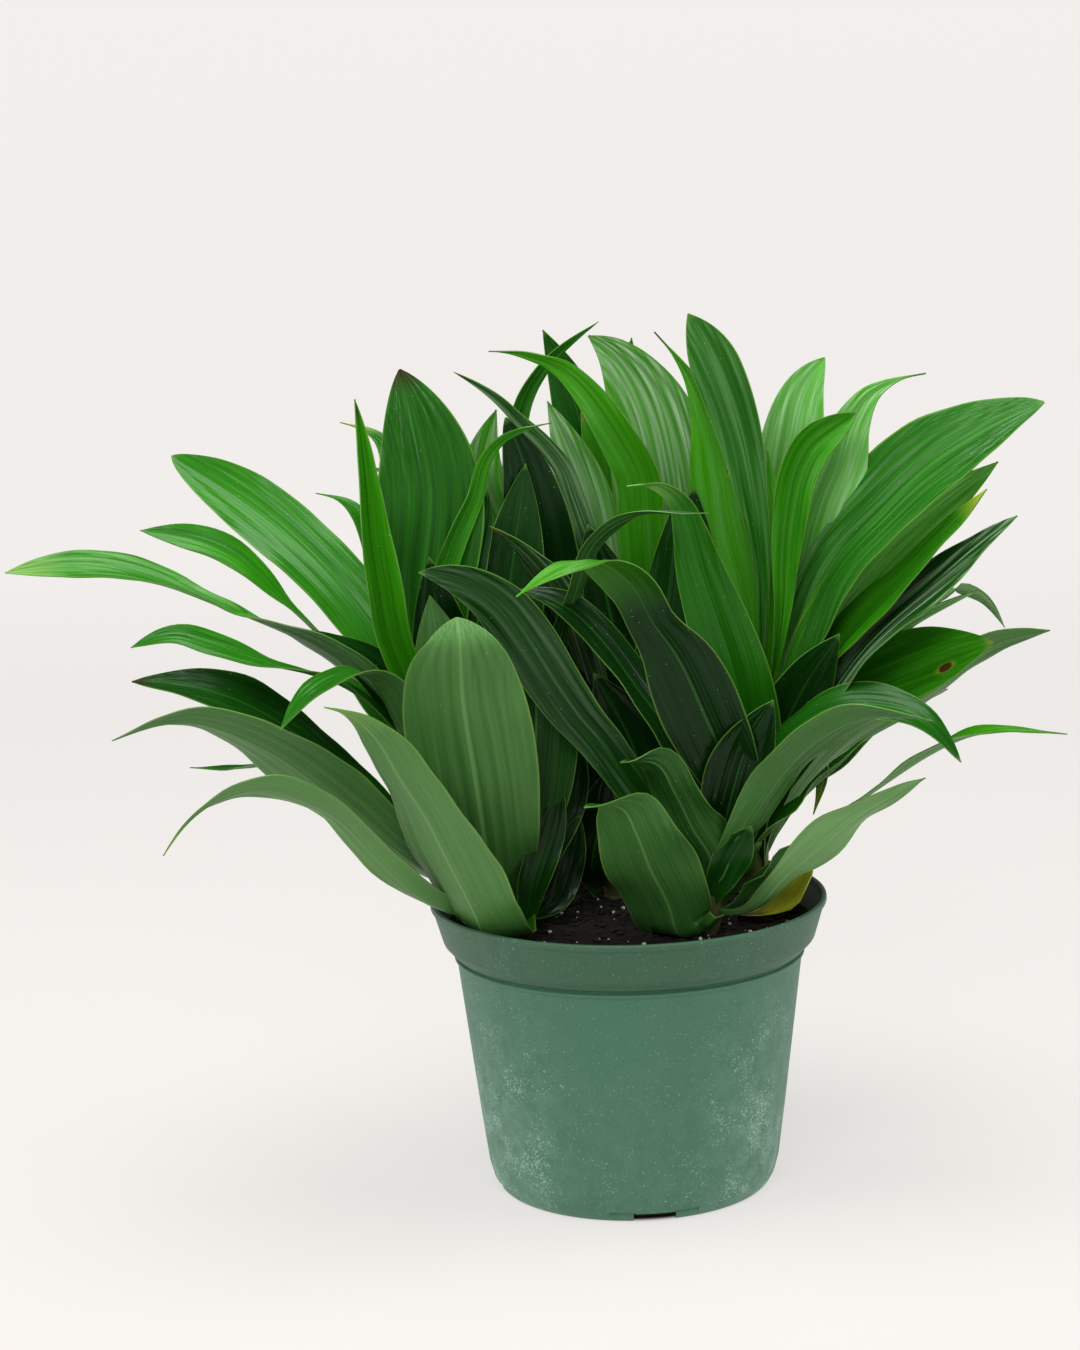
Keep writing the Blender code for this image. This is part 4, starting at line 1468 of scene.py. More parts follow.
    def build(self, name: str, finishes: list[bpy.types.Material]) -> bpy.types.Object:
        """Build the sheet from a grid, and give it its thickness.

        Args:
            name: The object's name.
            finishes: Materials of the upper side, the underside and the edge.

        Returns:
            The blade.
        """
        form = self.form
        columns = 2 * math.ceil(self.pleats() * form.columns_a_pleat / 2)
        rows = round(self.length / form.row_pitch)
        bpy.ops.object.select_all(action="DESELECT")
        bpy.ops.mesh.primitive_grid_add(x_subdivisions=columns, y_subdivisions=rows, size=2.0)
        blade = bpy.context.active_object
        blade.name = name
        grid = corners_of(blade) * MM
        x = grid[:, 0]
        t = 1.0 - (0.5 - 0.5 * grid[:, 1]) ** form.tip_crowding
        move_corners(blade, self.points(x, t))
        self.note_places(blade, x, t)
        for finish in finishes:
            blade.data.materials.append(finish)
        apply_modifier(blade, "SOLIDIFY", thickness=form.thickness * MM, offset=0.0,
                       material_offset=1, material_offset_rim=2)
        return blade


@dataclass(frozen=True)
class Plant:
    """One plant: a cane that carries leaves. Sizes are in mm.

    Attributes:
        node: The CAD node that it stands for.
        foot: Where the cane stands in the mix, across and deep.
        head: Where the cane ends.
        leaves: Its leaves.
        foot_height: Height of the cane's foot.
        cane_radius: Radius of the bare cane.
        wrap_radius: Radius where the feet of leaves wrap it.
        wrap_drop: How far below the lowest leaf the wrapped part reaches.
        top_radius: Radius of the cane's top.
        taper: Length over which the radius changes.
        ring_pitch: From one leaf scar to the next.
        ring_depth: Depth of a scar.
        ring_reach: How far a scar reaches below and above its middle.
        rounding: How far from its corner a rounding starts.
        rounding_steps: Number of edges in a rounding.
        turn_steps: Number of facets round the cane.
        start_radius: How far from the cane's middle a leaf starts.
    """

    node: str
    foot: tuple[float, float]
    head: Point
    leaves: tuple[Leaf, ...]
    foot_height: float = 70.0
    cane_radius: float = 6.9
    wrap_radius: float = 10.2
    wrap_drop: float = 3.0
    top_radius: float = 4.5
    taper: float = 14.0
    ring_pitch: float = 9.0
    ring_depth: float = 0.5
    ring_reach: Span = (1.0, 1.4)
    rounding: float = 2.0
    rounding_steps: int = 2
    turn_steps: int = 28
    start_radius: float = 5.0

    def leaf_base(self, leaf: Leaf) -> Point:
        """Return the point inside the cane where a leaf starts, in mm."""
        foot, head = self.ends()
        middle = foot.lerp(head, (leaf.height - foot.z) / (head.z - foot.z))
        outward = Vector(leaf.path[0]) - middle
        outward.z = 0.0
        return tuple(middle + outward.normalized() * self.start_radius)

    def ends(self) -> tuple[Vector, Vector]:
        """Return the foot and the head of the cane in mm."""
        return Vector((*self.foot, self.foot_height)), Vector(self.head)

    def build_cane(self) -> bpy.types.Object:
        """Build the cane with the rings that shed leaves have left.

        Returns:
            The cane.
        """
        foot, head = self.ends()
        length = (head - foot).length
        wrap = min(leaf.height for leaf in self.leaves) - self.wrap_drop - foot.z
        outline = [(0.0, length), (self.top_radius, length), (self.wrap_radius, length - self.taper),
                   (self.wrap_radius, wrap + self.taper), (self.cane_radius, wrap)]
        below, above = self.ring_reach
        for index in range(int(wrap / self.ring_pitch)):
            height = wrap - (index + 0.5) * self.ring_pitch
            outline.extend(((self.cane_radius, height + above),
                            (self.cane_radius - self.ring_depth, height),
                            (self.cane_radius, height - below)))
        outline.extend(((self.cane_radius, 0.0), (0.0, 0.0)))
        soft = rounded(tuple(outline), self.rounding, self.rounding_steps)
        cane = turned(f"{self.node} cane", soft, self.turn_steps)
        turn = (head - foot).to_track_quat("Z", "Y").to_matrix().to_4x4()
        cane.data.transform(Matrix.Translation(foot * MM) @ turn)
        return cane

    def build(self, finishes: list[bpy.types.Material], bark: bpy.types.Material) -> bpy.types.Object:
        """Build the plant.

        Args:
            finishes: Materials of a blade's upper side, underside and edge.
            bark: The cane's material.

        Returns:
            The piece.
        """
        blades = [Blade(leaf, self.leaf_base(leaf)).build(leaf.name, finishes) for leaf in self.leaves]
        cane = self.build_cane()
        cane.data.materials.append(bark)
        piece = joined(f"{self.node}_foliage", [*blades, cane])
        smooth(piece, BLADE_CREASE)
        return hand_over(piece, self.node)


# Leaves of the lowest lightness, such as the inner, deep and gap ones, are painted shade deep in the tuft;
# their darkest greens stand for that shade.
PLANTS = (
    Plant("plant_left", (-76, -30), (-92, -32, 300), (
        Leaf("broad glossy", 240, ((-153, 15, 354), (-219, 55, 424), (-293, 95, 469)), 46,
             turn=(-20, -35, -50), wide=0.68, point=0.7, tone=0.5, pleat=0.35, wave=3.5),
        Leaf("yellow tipped", 250, ((-172, -5, 342), (-205, -10, 380), (-248, -6, 420), (-302, -8, 435)),
             22, turn=(0, 0, -60), wide=0.84, point=1.1, tone=0.52, foot=0.2, rise=3.0),
        Leaf("longest", 240, ((-171, -36, 349), (-250, -37, 391), (-332, -38, 418), (-383, -40, 415)), 52,
             turn=(30, 18, -60), point=0.9, tone=0.54, pleat=0.6, tip=Tip.PALE, foot=0.5, wide=0.5,
             wave=3.5, pinch=(0.62, 0.7), highlight_stripes=0.15),
        Leaf("slim drooping", 235,
             ((-170, -57, 339), (-221, -68, 360), (-254, -73, 373), (-275, -74, 379),
              (-302, -75, 372)), 20,
             turn=(0, 0, -55), wide=0.78, point=1, tone=0.46, rise=2.5, foot=0.3),
        Leaf("dark low", 200,
             ((-176, -36, 280), (-210, -38, 311), (-243, -42, 331), (-276, -46, 342),
              (-306, -50, 346)), 44,
             turn=(-10, -22, -35), wide=0.65, tone=0.28, tip=Tip.BROWN),
        Leaf("curled tip", 190, ((-146, -55, 236), (-222, -90, 310), (-267, -110, 332), (-309, -125, 324)),
             60, turn=(35, 35, 15), wide=0.58, point=1, tone=0.5, foot=0.5),
        Leaf("low arch", 180,
             ((-123, -62, 202), (-140, -76, 220), (-160, -90, 245), (-178, -104, 268),
              (-198, -118, 284), (-219, -128, 293), (-239, -138, 292), (-257, -145, 283),
              (-278, -150, 258)),
             33, turn=(25, 25, 35), foot=0.7, tone=0.66, tip=Tip.YELLOW, point=1.2),
        Leaf("thin low", 200, ((-140, 5, 235), (-205, 35, 272), (-250, 50, 268), (-286, 60, 267)), 30,
             point=1.3, tone=0.4),
        Leaf("thin high", 255, ((-143, 62, 362), (-176, 85, 434), (-199, 95, 442)), 26, point=1.2,
             tone=0.5),
        Leaf("twisted tip", 200, ((-126, -65, 290), (-159, -88, 355), (-186, -105, 350), (-208, -115, 326)),
             54, wide=0.5, tone=0.42, foot=0.5),
        Leaf("folded upright", 250,
             ((-137, -56, 349), (-145, -58, 375), (-149, -58, 401), (-153, -56, 429),
              (-155, -52, 457), (-157, -48, 484), (-161, -42, 518)),
             29, across=20, cup=1.0, wide=0.5, tone=0.58, tip=Tip.BROWN),
        Leaf("tall upright", 260, ((-125, -24, 376), (-118, -16, 462), (-135, -4, 532)), 70, across=0,
             wide=0.64, point=0.8, tone=0.37, pleat=0.9, tip=Tip.BROWN),
        Leaf("leaning in", 270,
             ((-113, -30, 396), (-107, -30, 415), (-99, -28, 434), (-89, -26, 455),
              (-83, -26, 475), (-74, -26, 487), (-60, -28, 495), (-40, -30, 499)),
             14, across=20, point=1.2, tone=0.56),
        Leaf("broad front", 188, ((-91, -91, 281), (-97, -116, 346), (-97, -128, 381), (-99, -116, 393)),
             80, across=180, wide=0.62, point=0.6, foot=0.75, tone=0.5, pleat=1.0),
        Leaf("dark front", 195, ((-64, -48, 250), (-54, -68, 330), (-62, -80, 390)), 54, across=180,
             wide=0.5, tone=0.1, foot=0.6),
        Leaf("front arch", 174,
             ((-89, -72, 181), (-96, -80, 201), (-105, -92, 226), (-119, -112, 263),
              (-134, -128, 296), (-148, -142, 326), (-162, -150, 341), (-177, -158, 348)),
             68, wide=0.35, point=0.9, foot=0.85, tone=0.57, tip=Tip.PALE),
        Leaf("small front", 220, ((-105, -58, 312), (-117, -75, 400)), 42, across=180, tone=0.55),
        Leaf("thin back", 255, ((-120, 30, 370), (-140, 55, 450), (-156, 72, 480), (-180, 80, 490)), 34,
             point=1.4, tone=0.4, tip=Tip.YELLOW),
        Leaf("slim back", 245, ((-100, 45, 340), (-125, 90, 415), (-148, 112, 448), (-172, 120, 458)), 34,
             point=1.4, tone=0.4),
        Leaf("right back", 215, ((-98, 60, 300), (-92, 128, 350), (-84, 200, 330)), 52, tone=0.3),
        Leaf("left back", 205, ((-130, 40, 270), (-170, 110, 320), (-215, 170, 330)), 50, tone=0.42),
        Leaf("inner right", 235, ((-78, -10, 340), (-66, -4, 420), (-58, 2, 470)), 46, across=10,
             tone=0.15),
        Leaf("inner middle", 215, ((-100, -38, 300), (-112, -48, 370), (-118, -50, 420)), 44, across=0,
             tone=0.02),
        Leaf("inner left", 220, ((-125, -20, 300), (-165, -25, 350), (-200, -30, 372)), 44,
             turn=(-20, -30, -30), tone=0.14),
        Leaf("inner apex", 225, ((-114, -20, 375), (-99, -14, 412), (-87, -10, 437), (-82, -8, 456)), 56,
             across=0, wide=0.45, tone=0.25),
        Leaf("inner low", 186, ((-62, -8, 215), (-44, 6, 255), (-36, 14, 305)), 40, across=0, foot=0.6,
             tone=0.05),
        Leaf("dark edge", 180, ((-68, -48, 183), (-59, -52, 214), (-48, -50, 245), (-40, -46, 276)), 22,
             across=0, tone=0.06),
        # a dark sheet of painted shade in a gap deep in the tuft
        Leaf("gap right", 180, ((-51, -10, 187), (-39, -6, 215), (-30, 0, 243)), 26, across=0, tone=0.0),
    )),
    Plant("plant_back", (-8, 52), (-10, 58, 325), (
        Leaf("dark drooping", 250,
             ((-13, 20, 385), (-20, 12, 419), (-28, 6, 446), (-35, 2, 467), (-47, -2, 484),
              (-61, -4, 498), (-73, -6, 511), (-86, -8, 521), (-101, -10, 530)),
             15, across=0, wide=0.5, point=0.9, tone=0.3, tip=Tip.BROWN, pleat=0.25, highlight_stripes=0.3),
        Leaf("bright arch", 285,
             ((17, 36, 349), (16, 30, 389), (14, 24, 429), (12, 18, 459), (3, 14, 479),
              (-7, 10, 497), (-19, 6, 515), (-34, 2, 530), (-50, -2, 537), (-66, -4, 541),
              (-79, -6, 542)),
             32, across=0, point=1.2, tone=0.62, cup=0.3, wave=3.0, wide=0.42),
        Leaf("slim upright", 290, ((-40, 40, 420), (-62, 35, 495), (-45, 30, 528), (-10, 25, 556)), 13,
             across=0, point=1, tone=0.45),
        Leaf("pale upright", 300, ((-15, 95, 398), (-25, 101, 488), (-47, 101, 545)), 40, across=0,
             tone=0.3),
        Leaf("striped upright", 290,
             ((31, 60, 411), (28, 58, 463), (15, 55, 509), (-2, 52, 534),
              (-17, 50, 545)), 70, across=0,
             wide=0.55, tone=0.78, pleat=0.8, point=0.9, highlight_stripes=0.7),
        Leaf("dark upright", 290, ((10, 106, 398), (6, 125, 478), (11, 128, 536)), 34, across=0, tone=0.15),
        Leaf("silvery", 280, ((-12, 45, 388), (-22, 42, 447), (-44, 38, 505)), 36, across=0, tone=0.78,
             highlight_stripes=0.6),
        Leaf("orange tipped", 290, ((-5, 72, 397), (-12, 75, 456), (-23, 77, 499)), 26, across=0, tone=0.6,
             tip=Tip.ORANGE),
        Leaf("leaning out", 230, ((-25, 5, 341), (-50, -22, 407), (-80, -42, 437)), 34, tone=0.25,
             tip=Tip.ORANGE, highlight_stripes=0.6),
        Leaf("narrow right", 260,
             ((-39, -30, 362), (-28, -50, 397), (-18, -62, 425), (-3, -72, 440), (16, -80, 448),
              (37, -84, 448), (54, -84, 448)),
             13, point=1.0, tone=0.2, foot=0.15),
        Leaf("pale left", 260, ((-60, 30, 390), (-86, 20, 465), (-76, 15, 503)), 42, across=0, tone=0.7,
             highlight_stripes=0.5),
        Leaf("inner", 220, ((20, 15, 320), (32, 5, 400), (38, 0, 450)), 34, across=0, tone=0.2),
        Leaf("back middle", 240, ((-5, 115, 318), (-10, 195, 368), (-15, 272, 348)), 56, tone=0.35),
        Leaf("back right", 225, ((30, 110, 300), (70, 180, 340), (105, 245, 320)), 52, tone=0.45),
        Leaf("back left", 230, ((-52, 100, 345), (-100, 160, 384), (-150, 212, 392)), 54, tone=0.3,
             tip=Tip.YELLOW),
        Leaf("high right", 255, ((40, 90, 350), (90, 135, 410), (140, 180, 420)), 50, tone=0.4),
        Leaf("high left", 265, ((-50, 80, 360), (-100, 110, 430), (-148, 140, 455)), 50, tone=0.5),
        Leaf("dark low back", 184, ((-26, 90, 215), (-40, 125, 264), (-50, 160, 296)), 62, foot=0.7,
             tone=0.1),
        Leaf("low middle", 190, ((-5, 110, 250), (0, 180, 270), (5, 250, 232)), 44, tone=0.28),
        Leaf("low right", 188, ((40, 100, 240), (85, 160, 252), (125, 215, 215)), 42, tone=0.4),
        Leaf("low left", 190, ((-60, 84, 238), (-112, 132, 254), (-152, 182, 222)), 42, tone=0.35),
        Leaf("deep middle", 205, ((5, 20, 290), (-5, 10, 360), (-20, 5, 430)), 56, across=0, tone=0.03),
        Leaf("deep left", 215, ((-45, 30, 300), (-60, 20, 370), (-66, 15, 440)), 50, across=10, tone=0.05),
        Leaf("deep right", 210, ((30, 30, 300), (42, 22, 380), (48, 20, 450)), 50, across=0, tone=0.08),
        Leaf("low inner", 186, ((-30, 36, 215), (-52, 24, 255), (-62, 14, 300)), 44, across=0, foot=0.6,
             tone=0.05),
        Leaf("broad dark", 240,
             ((-47, 10, 355), (-50, 6, 408), (-53, 4, 440), (-59, 4, 469),
              (-70, 6, 499)), 52, across=0,
             wide=0.55, point=0.75, tone=0.02),
        # a dark sheet of painted shade in a gap deep in the tuft
        Leaf("gap middle", 190, ((-23, 20, 202), (-17, 14, 236), (-12, 10, 270)), 32, across=0, tone=0.0),
    )),
    Plant("plant_right", (78, 18), (84, 20, 320), (
        Leaf("tallest", 280,
             ((90, 8, 385), (89, 10, 411), (84, 11, 445), (78, 10, 479), (68, 9, 514),
              (57, 8, 541), (46, 8, 561)),
             33, across=0, wide=0.86, tone=0.42, point=0.9, pleat=0.7, foot=0.12, cup=0.35, rise=3.0,
             highlight_stripes=0.15),
        Leaf("brown tipped", 260,
             ((79, 28, 375), (69, 30, 414), (62, 32, 459), (57, 32, 491), (46, 32, 520),
              (25, 32, 548)), 44,
             across=0, point=2.0, tone=0.68, tip=Tip.BROWN, spot=(0.52, 0.665, 2.2), wide=0.5),
        Leaf("pale blunt", 290, ((99, 60, 377), (111, 72, 462), (123, 84, 505), (136, 92, 523)), 42,
             across=0, wide=0.7, point=0.8, tone=0.77, pleat=0.6, highlight_stripes=0.2),
        Leaf("pale nodding", 270,
             ((115, 36, 373), (123, 38, 408), (131, 41, 434), (141, 44, 457), (150, 48, 484),
              (162, 53, 502), (177, 58, 510), (199, 63, 514)),
             50, wide=0.5, point=1.8, tone=0.77, tip=Tip.BROWN, cup=0.3, across=0, highlight_stripes=0.25),
        Leaf("bright folded", 280,
             ((103, 4, 379), (104, 5, 400), (107, 6, 429), (113, 8, 458), (122, 10, 475),
              (135, 12, 485), (151, 14, 495)),
             28, across=0, cup=0.6, tone=0.56, wide=0.82, rise=2.0, foot=0.08, point=0.8),
        Leaf("broad glossy", 240,
             ((136, 12, 399), (168, 10, 434), (199, 6, 462), (230, 2, 483), (267, -2, 501)), 90,
             turn=(30, 30, 30), wide=0.64, point=0.8, tone=0.42, pleat=0.9, highlight_stripes=0.12),
        Leaf("under the broad one", 235, ((130, 20, 355), (175, 20, 410), (240, 15, 462)), 44, tone=0.66,
             highlight_stripes=0.2, across=10),
        Leaf("yellow edged", 225, ((139, -12, 354), (186, -24, 404), (228, -30, 451)), 36,
             turn=(20, 30, 40), tone=0.56, tip=Tip.YELLOW),
        Leaf("silver striped", 226, ((144, -24, 342), (194, -30, 392), (246, -38, 435)), 44,
             turn=(30, 35, 40), tone=0.25, pleat=0.9, highlight_stripes=0.6),
        Leaf("thin arch", 220,
             ((165, 25, 348), (183, 27, 363), (202, 29, 377), (216, 31, 379), (232, 33, 372),
              (246, 35, 352)),
             16, tone=1.0, across=0),
        Leaf("thin stub", 224, ((164, 12, 350), (182, 12, 361), (209, 10, 374), (226, 9, 381)), 11,
             tone=0.9, across=0),
        Leaf("broad spotted", 205, ((120, 8, 296), (174, -12, 332), (208, -22, 346), (232, -28, 354)), 60,
             turn=(20, 40, 45), wide=0.7, point=0.9, tone=0.55, tip=Tip.TAN, spot=(0.42, 0.86, 3.4)),
        Leaf("sage reaching", 200, ((130, 20, 272), (195, 15, 316), (235, 10, 344), (272, 10, 354)), 40,
             turn=(-20, -40, -45), tone=0.45),
        Leaf("hanging tip", 230, ((105, 35, 285), (124, 39, 291), (128, 42, 260), (122, 42, 230)), 14,
             tone=0.4, tip=Tip.YELLOW),
        Leaf("pale leaning in", 210,
             ((80, -15, 260), (76, -28, 302), (69, -36, 341), (59, -42, 375), (49, -47, 407),
              (43, -52, 433), (37, -56, 451), (24, -60, 462), (5, -66, 463)),
             46, across=5, point=1.2, tone=0.44, wave=3.0, wide=0.38, foot=0.35, tip=Tip.PALE, pleat=0.25),
        Leaf("back high", 250, ((110, 60, 330), (160, 110, 390), (215, 160, 400)), 50, tone=0.5),
        Leaf("back middle", 225, ((108, 85, 290), (135, 160, 324), (160, 232, 306)), 50, tone=0.3),
        Leaf("back low", 195, ((118, 78, 243), (172, 95, 285), (218, 130, 294)), 40, tone=0.4),
        Leaf("inner low", 205, ((96, -10, 285), (118, -24, 335), (136, -30, 362)), 44, across=0, tone=0.1),
        Leaf("inner back", 240, ((75, 35, 340), (62, 45, 420), (52, 50, 480)), 44, across=0, tone=0.1),
        Leaf("slim bright", 270, ((100, 18, 383), (99, 20, 415), (97, 22, 447), (95, 24, 472)), 16,
             across=0, tone=0.68),
    )),
    Plant("plant_front", (44, -38), (52, -40, 245), (
        Leaf("white shouldered", 205,
             ((-2, -66, 286), (-14, -72, 305), (-27, -78, 322), (-39, -83, 341),
              (-50, -88, 361), (-62, -92, 381), (-73, -95, 396), (-86, -97, 407),
              (-103, -98, 415), (-122, -98, 418)),
             36, point=0.9, tone=0.17, wide=0.72, foot=0.4, highlight_stripes=0.12, across=0),
        Leaf("yellow tipped", 205,
             ((73, -45, 254), (62, -58, 289), (51, -70, 317), (33, -88, 361), (18, -98, 385),
              (8, -106, 407), (-3, -114, 420), (-15, -122, 427), (-30, -130, 426),
              (-45, -137, 420), (-62, -142, 409)),
             # its bright green end paints the lit top of its arch
             52, across=0, wide=0.43, point=1.2, tone=0.04, tip=Tip.LIT_ARCH, foot=0.35, pleat=0.25,
             pinch=(0.64, 0.3)),
        Leaf("dark behind", 205,
             ((40, -52, 263), (30, -54, 302), (10, -54, 334), (-11, -52, 363), (-32, -50, 385),
              (-50, -48, 394), (-66, -46, 397)),
             40, turn=(-30, -30, -30), tone=0.03),
        Leaf("sage front", 174,
             ((32, -56, 176), (25, -66, 199), (14, -86, 228), (6, -108, 255), (-4, -126, 276),
              (-25, -142, 280)),
             58, across=180, wide=0.45, point=0.8, foot=0.85, tone=0.36, wave=4.0),
        Leaf("wavy bright", 186,
             ((45, -44, 180), (52, -48, 202), (52, -58, 226), (41, -70, 249), (30, -84, 275),
              (18, -96, 296), (-3, -104, 299)),
             36, across=180, wave=8.0, wide=0.5, foot=0.6, tone=0.2, point=0.8),
        Leaf("small", 186, ((66, -48, 210), (84, -55, 236)), 22, turn=(-30, -30, -30), tone=0.4),
        Leaf("sage arch", 200,
             ((70, -58, 238), (88, -66, 268), (112, -80, 301), (153, -102, 323),
              (186, -117, 323)), 44,
             turn=(-20, -25, -20), tone=0.45, foot=0.4),
        Leaf("bright drooping", 222, ((85, -38, 284), (136, -49, 321), (180, -67, 316), (206, -84, 290)),
             34, turn=(20, 25, 30), tone=0.32),
        Leaf("sage low", 186, ((75, -52, 190), (102, -70, 220), (137, -92, 256), (182, -108, 286)), 32,
             turn=(-30, -35, -40), tone=0.8, point=1.1, wave=3.5, wide=0.55),
        Leaf("long thin", 190, ((105, -40, 225), (161, -45, 268), (219, -55, 301), (274, -60, 301)), 28,
             turn=(-30, -10, 0), point=1.2, tone=0.62, pleat=0.5),
        Leaf("slim stub", 200, ((105, -40, 255), (152, -48, 300)), 16, tone=0.4),
        Leaf("inner right", 198, ((62, -52, 250), (76, -66, 300), (92, -76, 330)), 42, across=0, tone=0.05),
        Leaf("inner left", 195, ((22, -38, 240), (4, -46, 300), (-18, -52, 345)), 44, across=0, tone=0.0),
        Leaf("fan low", 184, ((66, -40, 190), (90, -44, 212), (114, -50, 236)), 26, turn=(-20, -25, -30),
             tone=0.3),
        Leaf("fan upright", 190, ((55, -50, 204), (68, -58, 232), (78, -62, 248)), 25, across=0, tone=0.22),
        # a dark sheet of painted shade in a gap deep in the tuft
        Leaf("gap front", 186, ((39, -20, 190), (43, -14, 222), (47, -10, 253), (50, -6, 282)), 40,
             across=0, tone=0.0),
    )),
)

FADED_FOOT = (70, -12, 174.4)
FADED_LEAF = Leaf("faded", 0, ((94, -10, 183), (106, -6, 196), (118, 0, 213)), 32,
                  turn=(0, 20, 30), foot=0.5, pleat=0.5)


@dataclass(frozen=True)
class Softbox:
    """A soft rectangular light.

    Attributes:
        name: Its name.
        place: Its place in metres.
        size: Its width and height in metres.
        power: Its power in watts.
        colour: Its colour.
        target: The point that it faces.
    """

    name: str
    place: Point
    size: Span
    power: float
    colour: str = "#FFFFFF"
    target: Point = (0.0, 0.0, 0.3)

    def build(self) -> None:
        """Add the light."""
        lamp = bpy.data.lights.new(self.name, "AREA")
        lamp.shape = "RECTANGLE"
        lamp.size, lamp.size_y = self.size
        lamp.energy = self.power
        lamp.color = linear(self.colour)[:3]
        made = bpy.data.objects.new(self.name, lamp)
        bpy.context.scene.collection.objects.link(made)
        sight = Vector(self.target) - Vector(self.place)
        aim = sight.to_track_quat("-Z", "Y").to_matrix().to_4x4()
        made.matrix_world = Matrix.Translation(self.place) @ aim


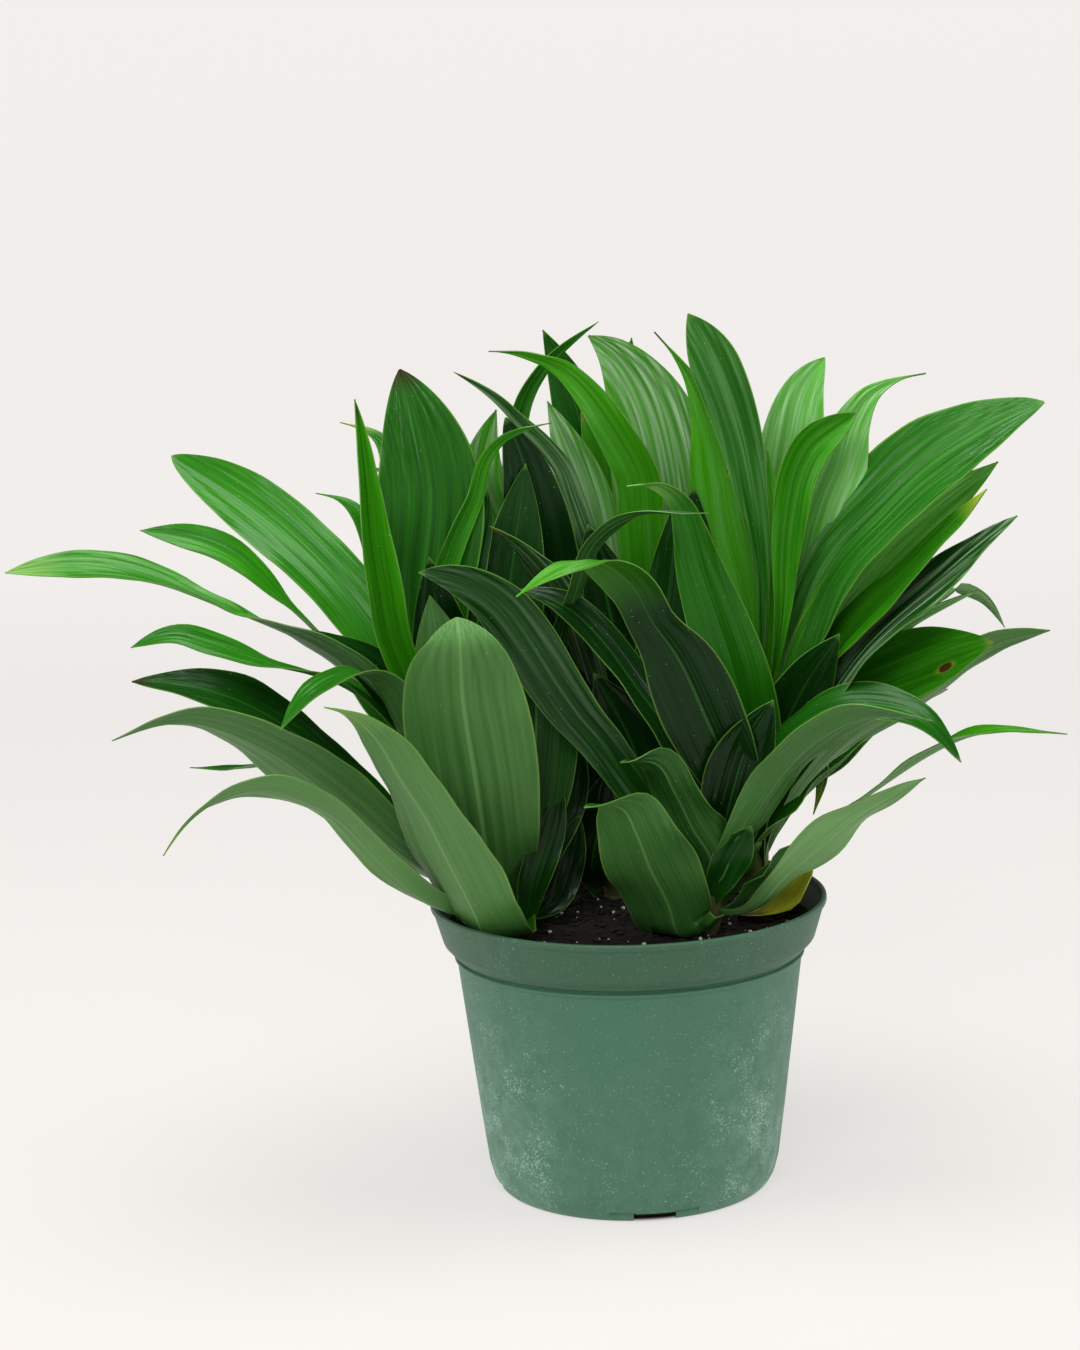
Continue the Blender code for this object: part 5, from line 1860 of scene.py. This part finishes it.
@dataclass(frozen=True)
class Studio:
    """The camera at the photograph's viewing angle, a pale floor and soft studio light.

    Attributes:
        camera: Place of the camera in metres.
        pitch: How far it looks down, in degrees.
        heading: How far it looks to the left, in degrees.
        roll: How far it is tilted, in degrees.
        lens: Focal length in mm.
        sensor: Longer side of the sensor in mm.
        floor_radius: How far the flat floor reaches, in mm.
        sweep: Radius of the sweep from the floor to the wall, in mm.
        sweep_steps: Number of points along it.
        wall_height: Height of the wall, in mm.
        turn_steps: Number of facets round the floor.
        near_colour: Colour of the paper round the object.
        far_colour: Its colour far behind it.
        glow_colour: Colour of its glow.
        unlit_middle: The point round which the paper glows less, in metres.
        glow_span: How far from that point it starts to glow more and glows most, in metres.
        glow: Strength of the glow round the object and far behind it.
        pot_shade: Radii between which the glow fades toward the pot's foot, in metres.
        paper_roughness: The paper's roughness.
        lights: The lights.
        ambient_colour: Colour of the light from all around.
        ambient: Its strength.
        gamma: Gamma of the finished picture.
    """

    camera: Point = (0.0, -2.2, 0.749)
    pitch: float = 10.66
    heading: float = 1.372
    roll: float = -1.6
    lens: float = 93.9
    sensor: float = 36.0
    floor_radius: float = 7000.0
    sweep: float = 1500.0
    sweep_steps: int = 16
    wall_height: float = 2600.0
    turn_steps: int = 96
    near_colour: str = "#7C7976"
    far_colour: str = "#403F3E"
    glow_colour: str = "#FCF9F7"
    unlit_middle: Point = (0.0, -3.0, 0.0)
    glow_span: Span = (3.7, 6.0)
    glow: Span = (0.7, 0.9)
    pot_shade: Span = (0.08, 0.088)
    paper_roughness: float = 0.95
    lights: tuple[Softbox, ...] = (
        Softbox("top softbox", (-0.1, -0.1, 2.5), (1.7, 1.7), 58.0),
        Softbox("front softbox", (-0.5, -2.7, 2.3), (1.8, 1.0), 48.0),
        Softbox("left softbox", (-2.6, -1.2, 1.8), (1.2, 1.4), 18.0),
        Softbox("right softbox", (2.6, -1.0, 1.5), (1.2, 1.4), 18.0),
        Softbox("left strip", (-1.7, 0.9, 0.7), (0.5, 1.6), 4.0),
        Softbox("right strip", (1.7, 0.7, 0.7), (0.5, 1.6), 4.0),
    )
    ambient_colour: str = "#F4F6F8"
    ambient: float = 0.05
    gamma: float = 0.9

    def build_camera(self) -> None:
        """Add the camera and make it the scene's."""
        lens = bpy.data.cameras.new("camera")
        lens.lens = self.lens
        lens.sensor_width = self.sensor
        camera = bpy.data.objects.new("camera", lens)
        bpy.context.scene.collection.objects.link(camera)
        pitch, heading = math.radians(self.pitch), math.radians(self.heading)
        ahead = Vector((-math.sin(heading) * math.cos(pitch), math.cos(heading) * math.cos(pitch),
                        -math.sin(pitch)))
        turn = ahead.to_track_quat("-Z", "Y").to_matrix().to_4x4()
        roll = Matrix.Rotation(math.radians(self.roll), 4, "Z")
        camera.matrix_world = Matrix.Translation(self.camera) @ turn @ roll
        bpy.context.scene.camera = camera

    def build_floor(self) -> None:
        """Build the pale floor, which sweeps up all round, far from the object."""
        arc = [(self.floor_radius + self.sweep * math.sin(angle), self.sweep * (1.0 - math.cos(angle)))
               for angle in np.linspace(0.0, math.pi / 2.0, self.sweep_steps)]
        outline = [(0.0, 0.0), *arc, (arc[-1][0], self.wall_height)]
        floor = turned("studio_floor", outline, self.turn_steps)
        bpy.ops.object.shade_smooth()
        floor.data.materials.append(self.paper())

    def paper(self) -> bpy.types.Material:
        """Make the matte background paper.

        Its fibres are too fine to show. It glows a little, as if it were lit evenly from
        below, and more so behind the object, so that no shadow darkens it much. It doesn't
        glow under the pot.

        Returns:
            The material.
        """
        made, tree, shader = new_material("matte background paper")
        where = add_node(tree, "TexCoord").outputs["Object"]
        middle = add_node(tree, "VectorMath", {"operation": "LENGTH"}, {0: where})
        front = add_node(tree, "VectorMath", {"operation": "DISTANCE", 1: self.unlit_middle}, {0: where})
        soft = {"interpolation_type": "SMOOTHSTEP"}
        away = add_node(tree, "MapRange", dict(zip(RANGE, self.glow_span), **soft),
                        {"Value": front.outputs["Value"]}).outputs[0]
        beside = add_node(tree, "MapRange", dict(zip(RANGE, self.pot_shade), **soft),
                          {"Value": middle.outputs["Value"]})
        near, far = self.glow
        glow = add_node(tree, "MapRange", {"To Min": near, "To Max": far}, {"Value": away})
        lit = add_node(tree, "Math", {"operation": "MULTIPLY"},
                       {0: glow.outputs[0], 1: beside.outputs[0]})
        mix = add_node(tree, "MixRGB",
                       {"Color1": linear(self.near_colour), "Color2": linear(self.far_colour)},
                       {"Fac": away})
        tree.links.new(mix.outputs[0], shader.inputs["Base Color"])
        tree.links.new(lit.outputs[0], shader.inputs["Emission Strength"])
        shader.inputs["Emission Color"].default_value = linear(self.glow_colour)
        shader.inputs["Roughness"].default_value = self.paper_roughness
        shader.inputs["Specular IOR Level"].default_value = 0.0
        made.cycles.emission_sampling = "NONE"
        return made

    def build(self) -> None:
        """Build the camera, the floor, the lights and the ambient light."""
        self.build_camera()
        self.build_floor()
        for light in self.lights:
            light.build()
        world = bpy.data.worlds.new("studio")
        world.use_nodes = True
        sky = world.node_tree.nodes["Background"]
        sky.inputs["Color"].default_value = linear(self.ambient_colour)
        sky.inputs["Strength"].default_value = self.ambient
        bpy.context.scene.world = world
        bpy.context.scene.view_settings.view_transform = "Standard"
        bpy.context.scene.view_settings.gamma = self.gamma
        LOG.info("studio: camera, floor and lights")


def main() -> None:
    """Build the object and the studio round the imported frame."""
    logging.basicConfig(level=logging.INFO, format="%(name)s: %(message)s", stream=sys.stdout)
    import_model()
    Studio().build()
    pot = Pot()
    pot.build()
    PottingMix(pot).build()
    finishes = [UPPER_SIDE.build(), UNDERSIDE.build(), LeafEdge().build()]
    bark = CaneBark().build()
    for plant in PLANTS:
        plant.build(finishes, bark)
    skin = FadedLeafSkin().build()
    faded = Blade(FADED_LEAF, FADED_FOOT).build("faded_strap_leaf", [skin, skin, skin])
    smooth(faded, BLADE_CREASE)
    hand_over(faded, "faded_leaf")


if __name__ == "__main__":
    main()
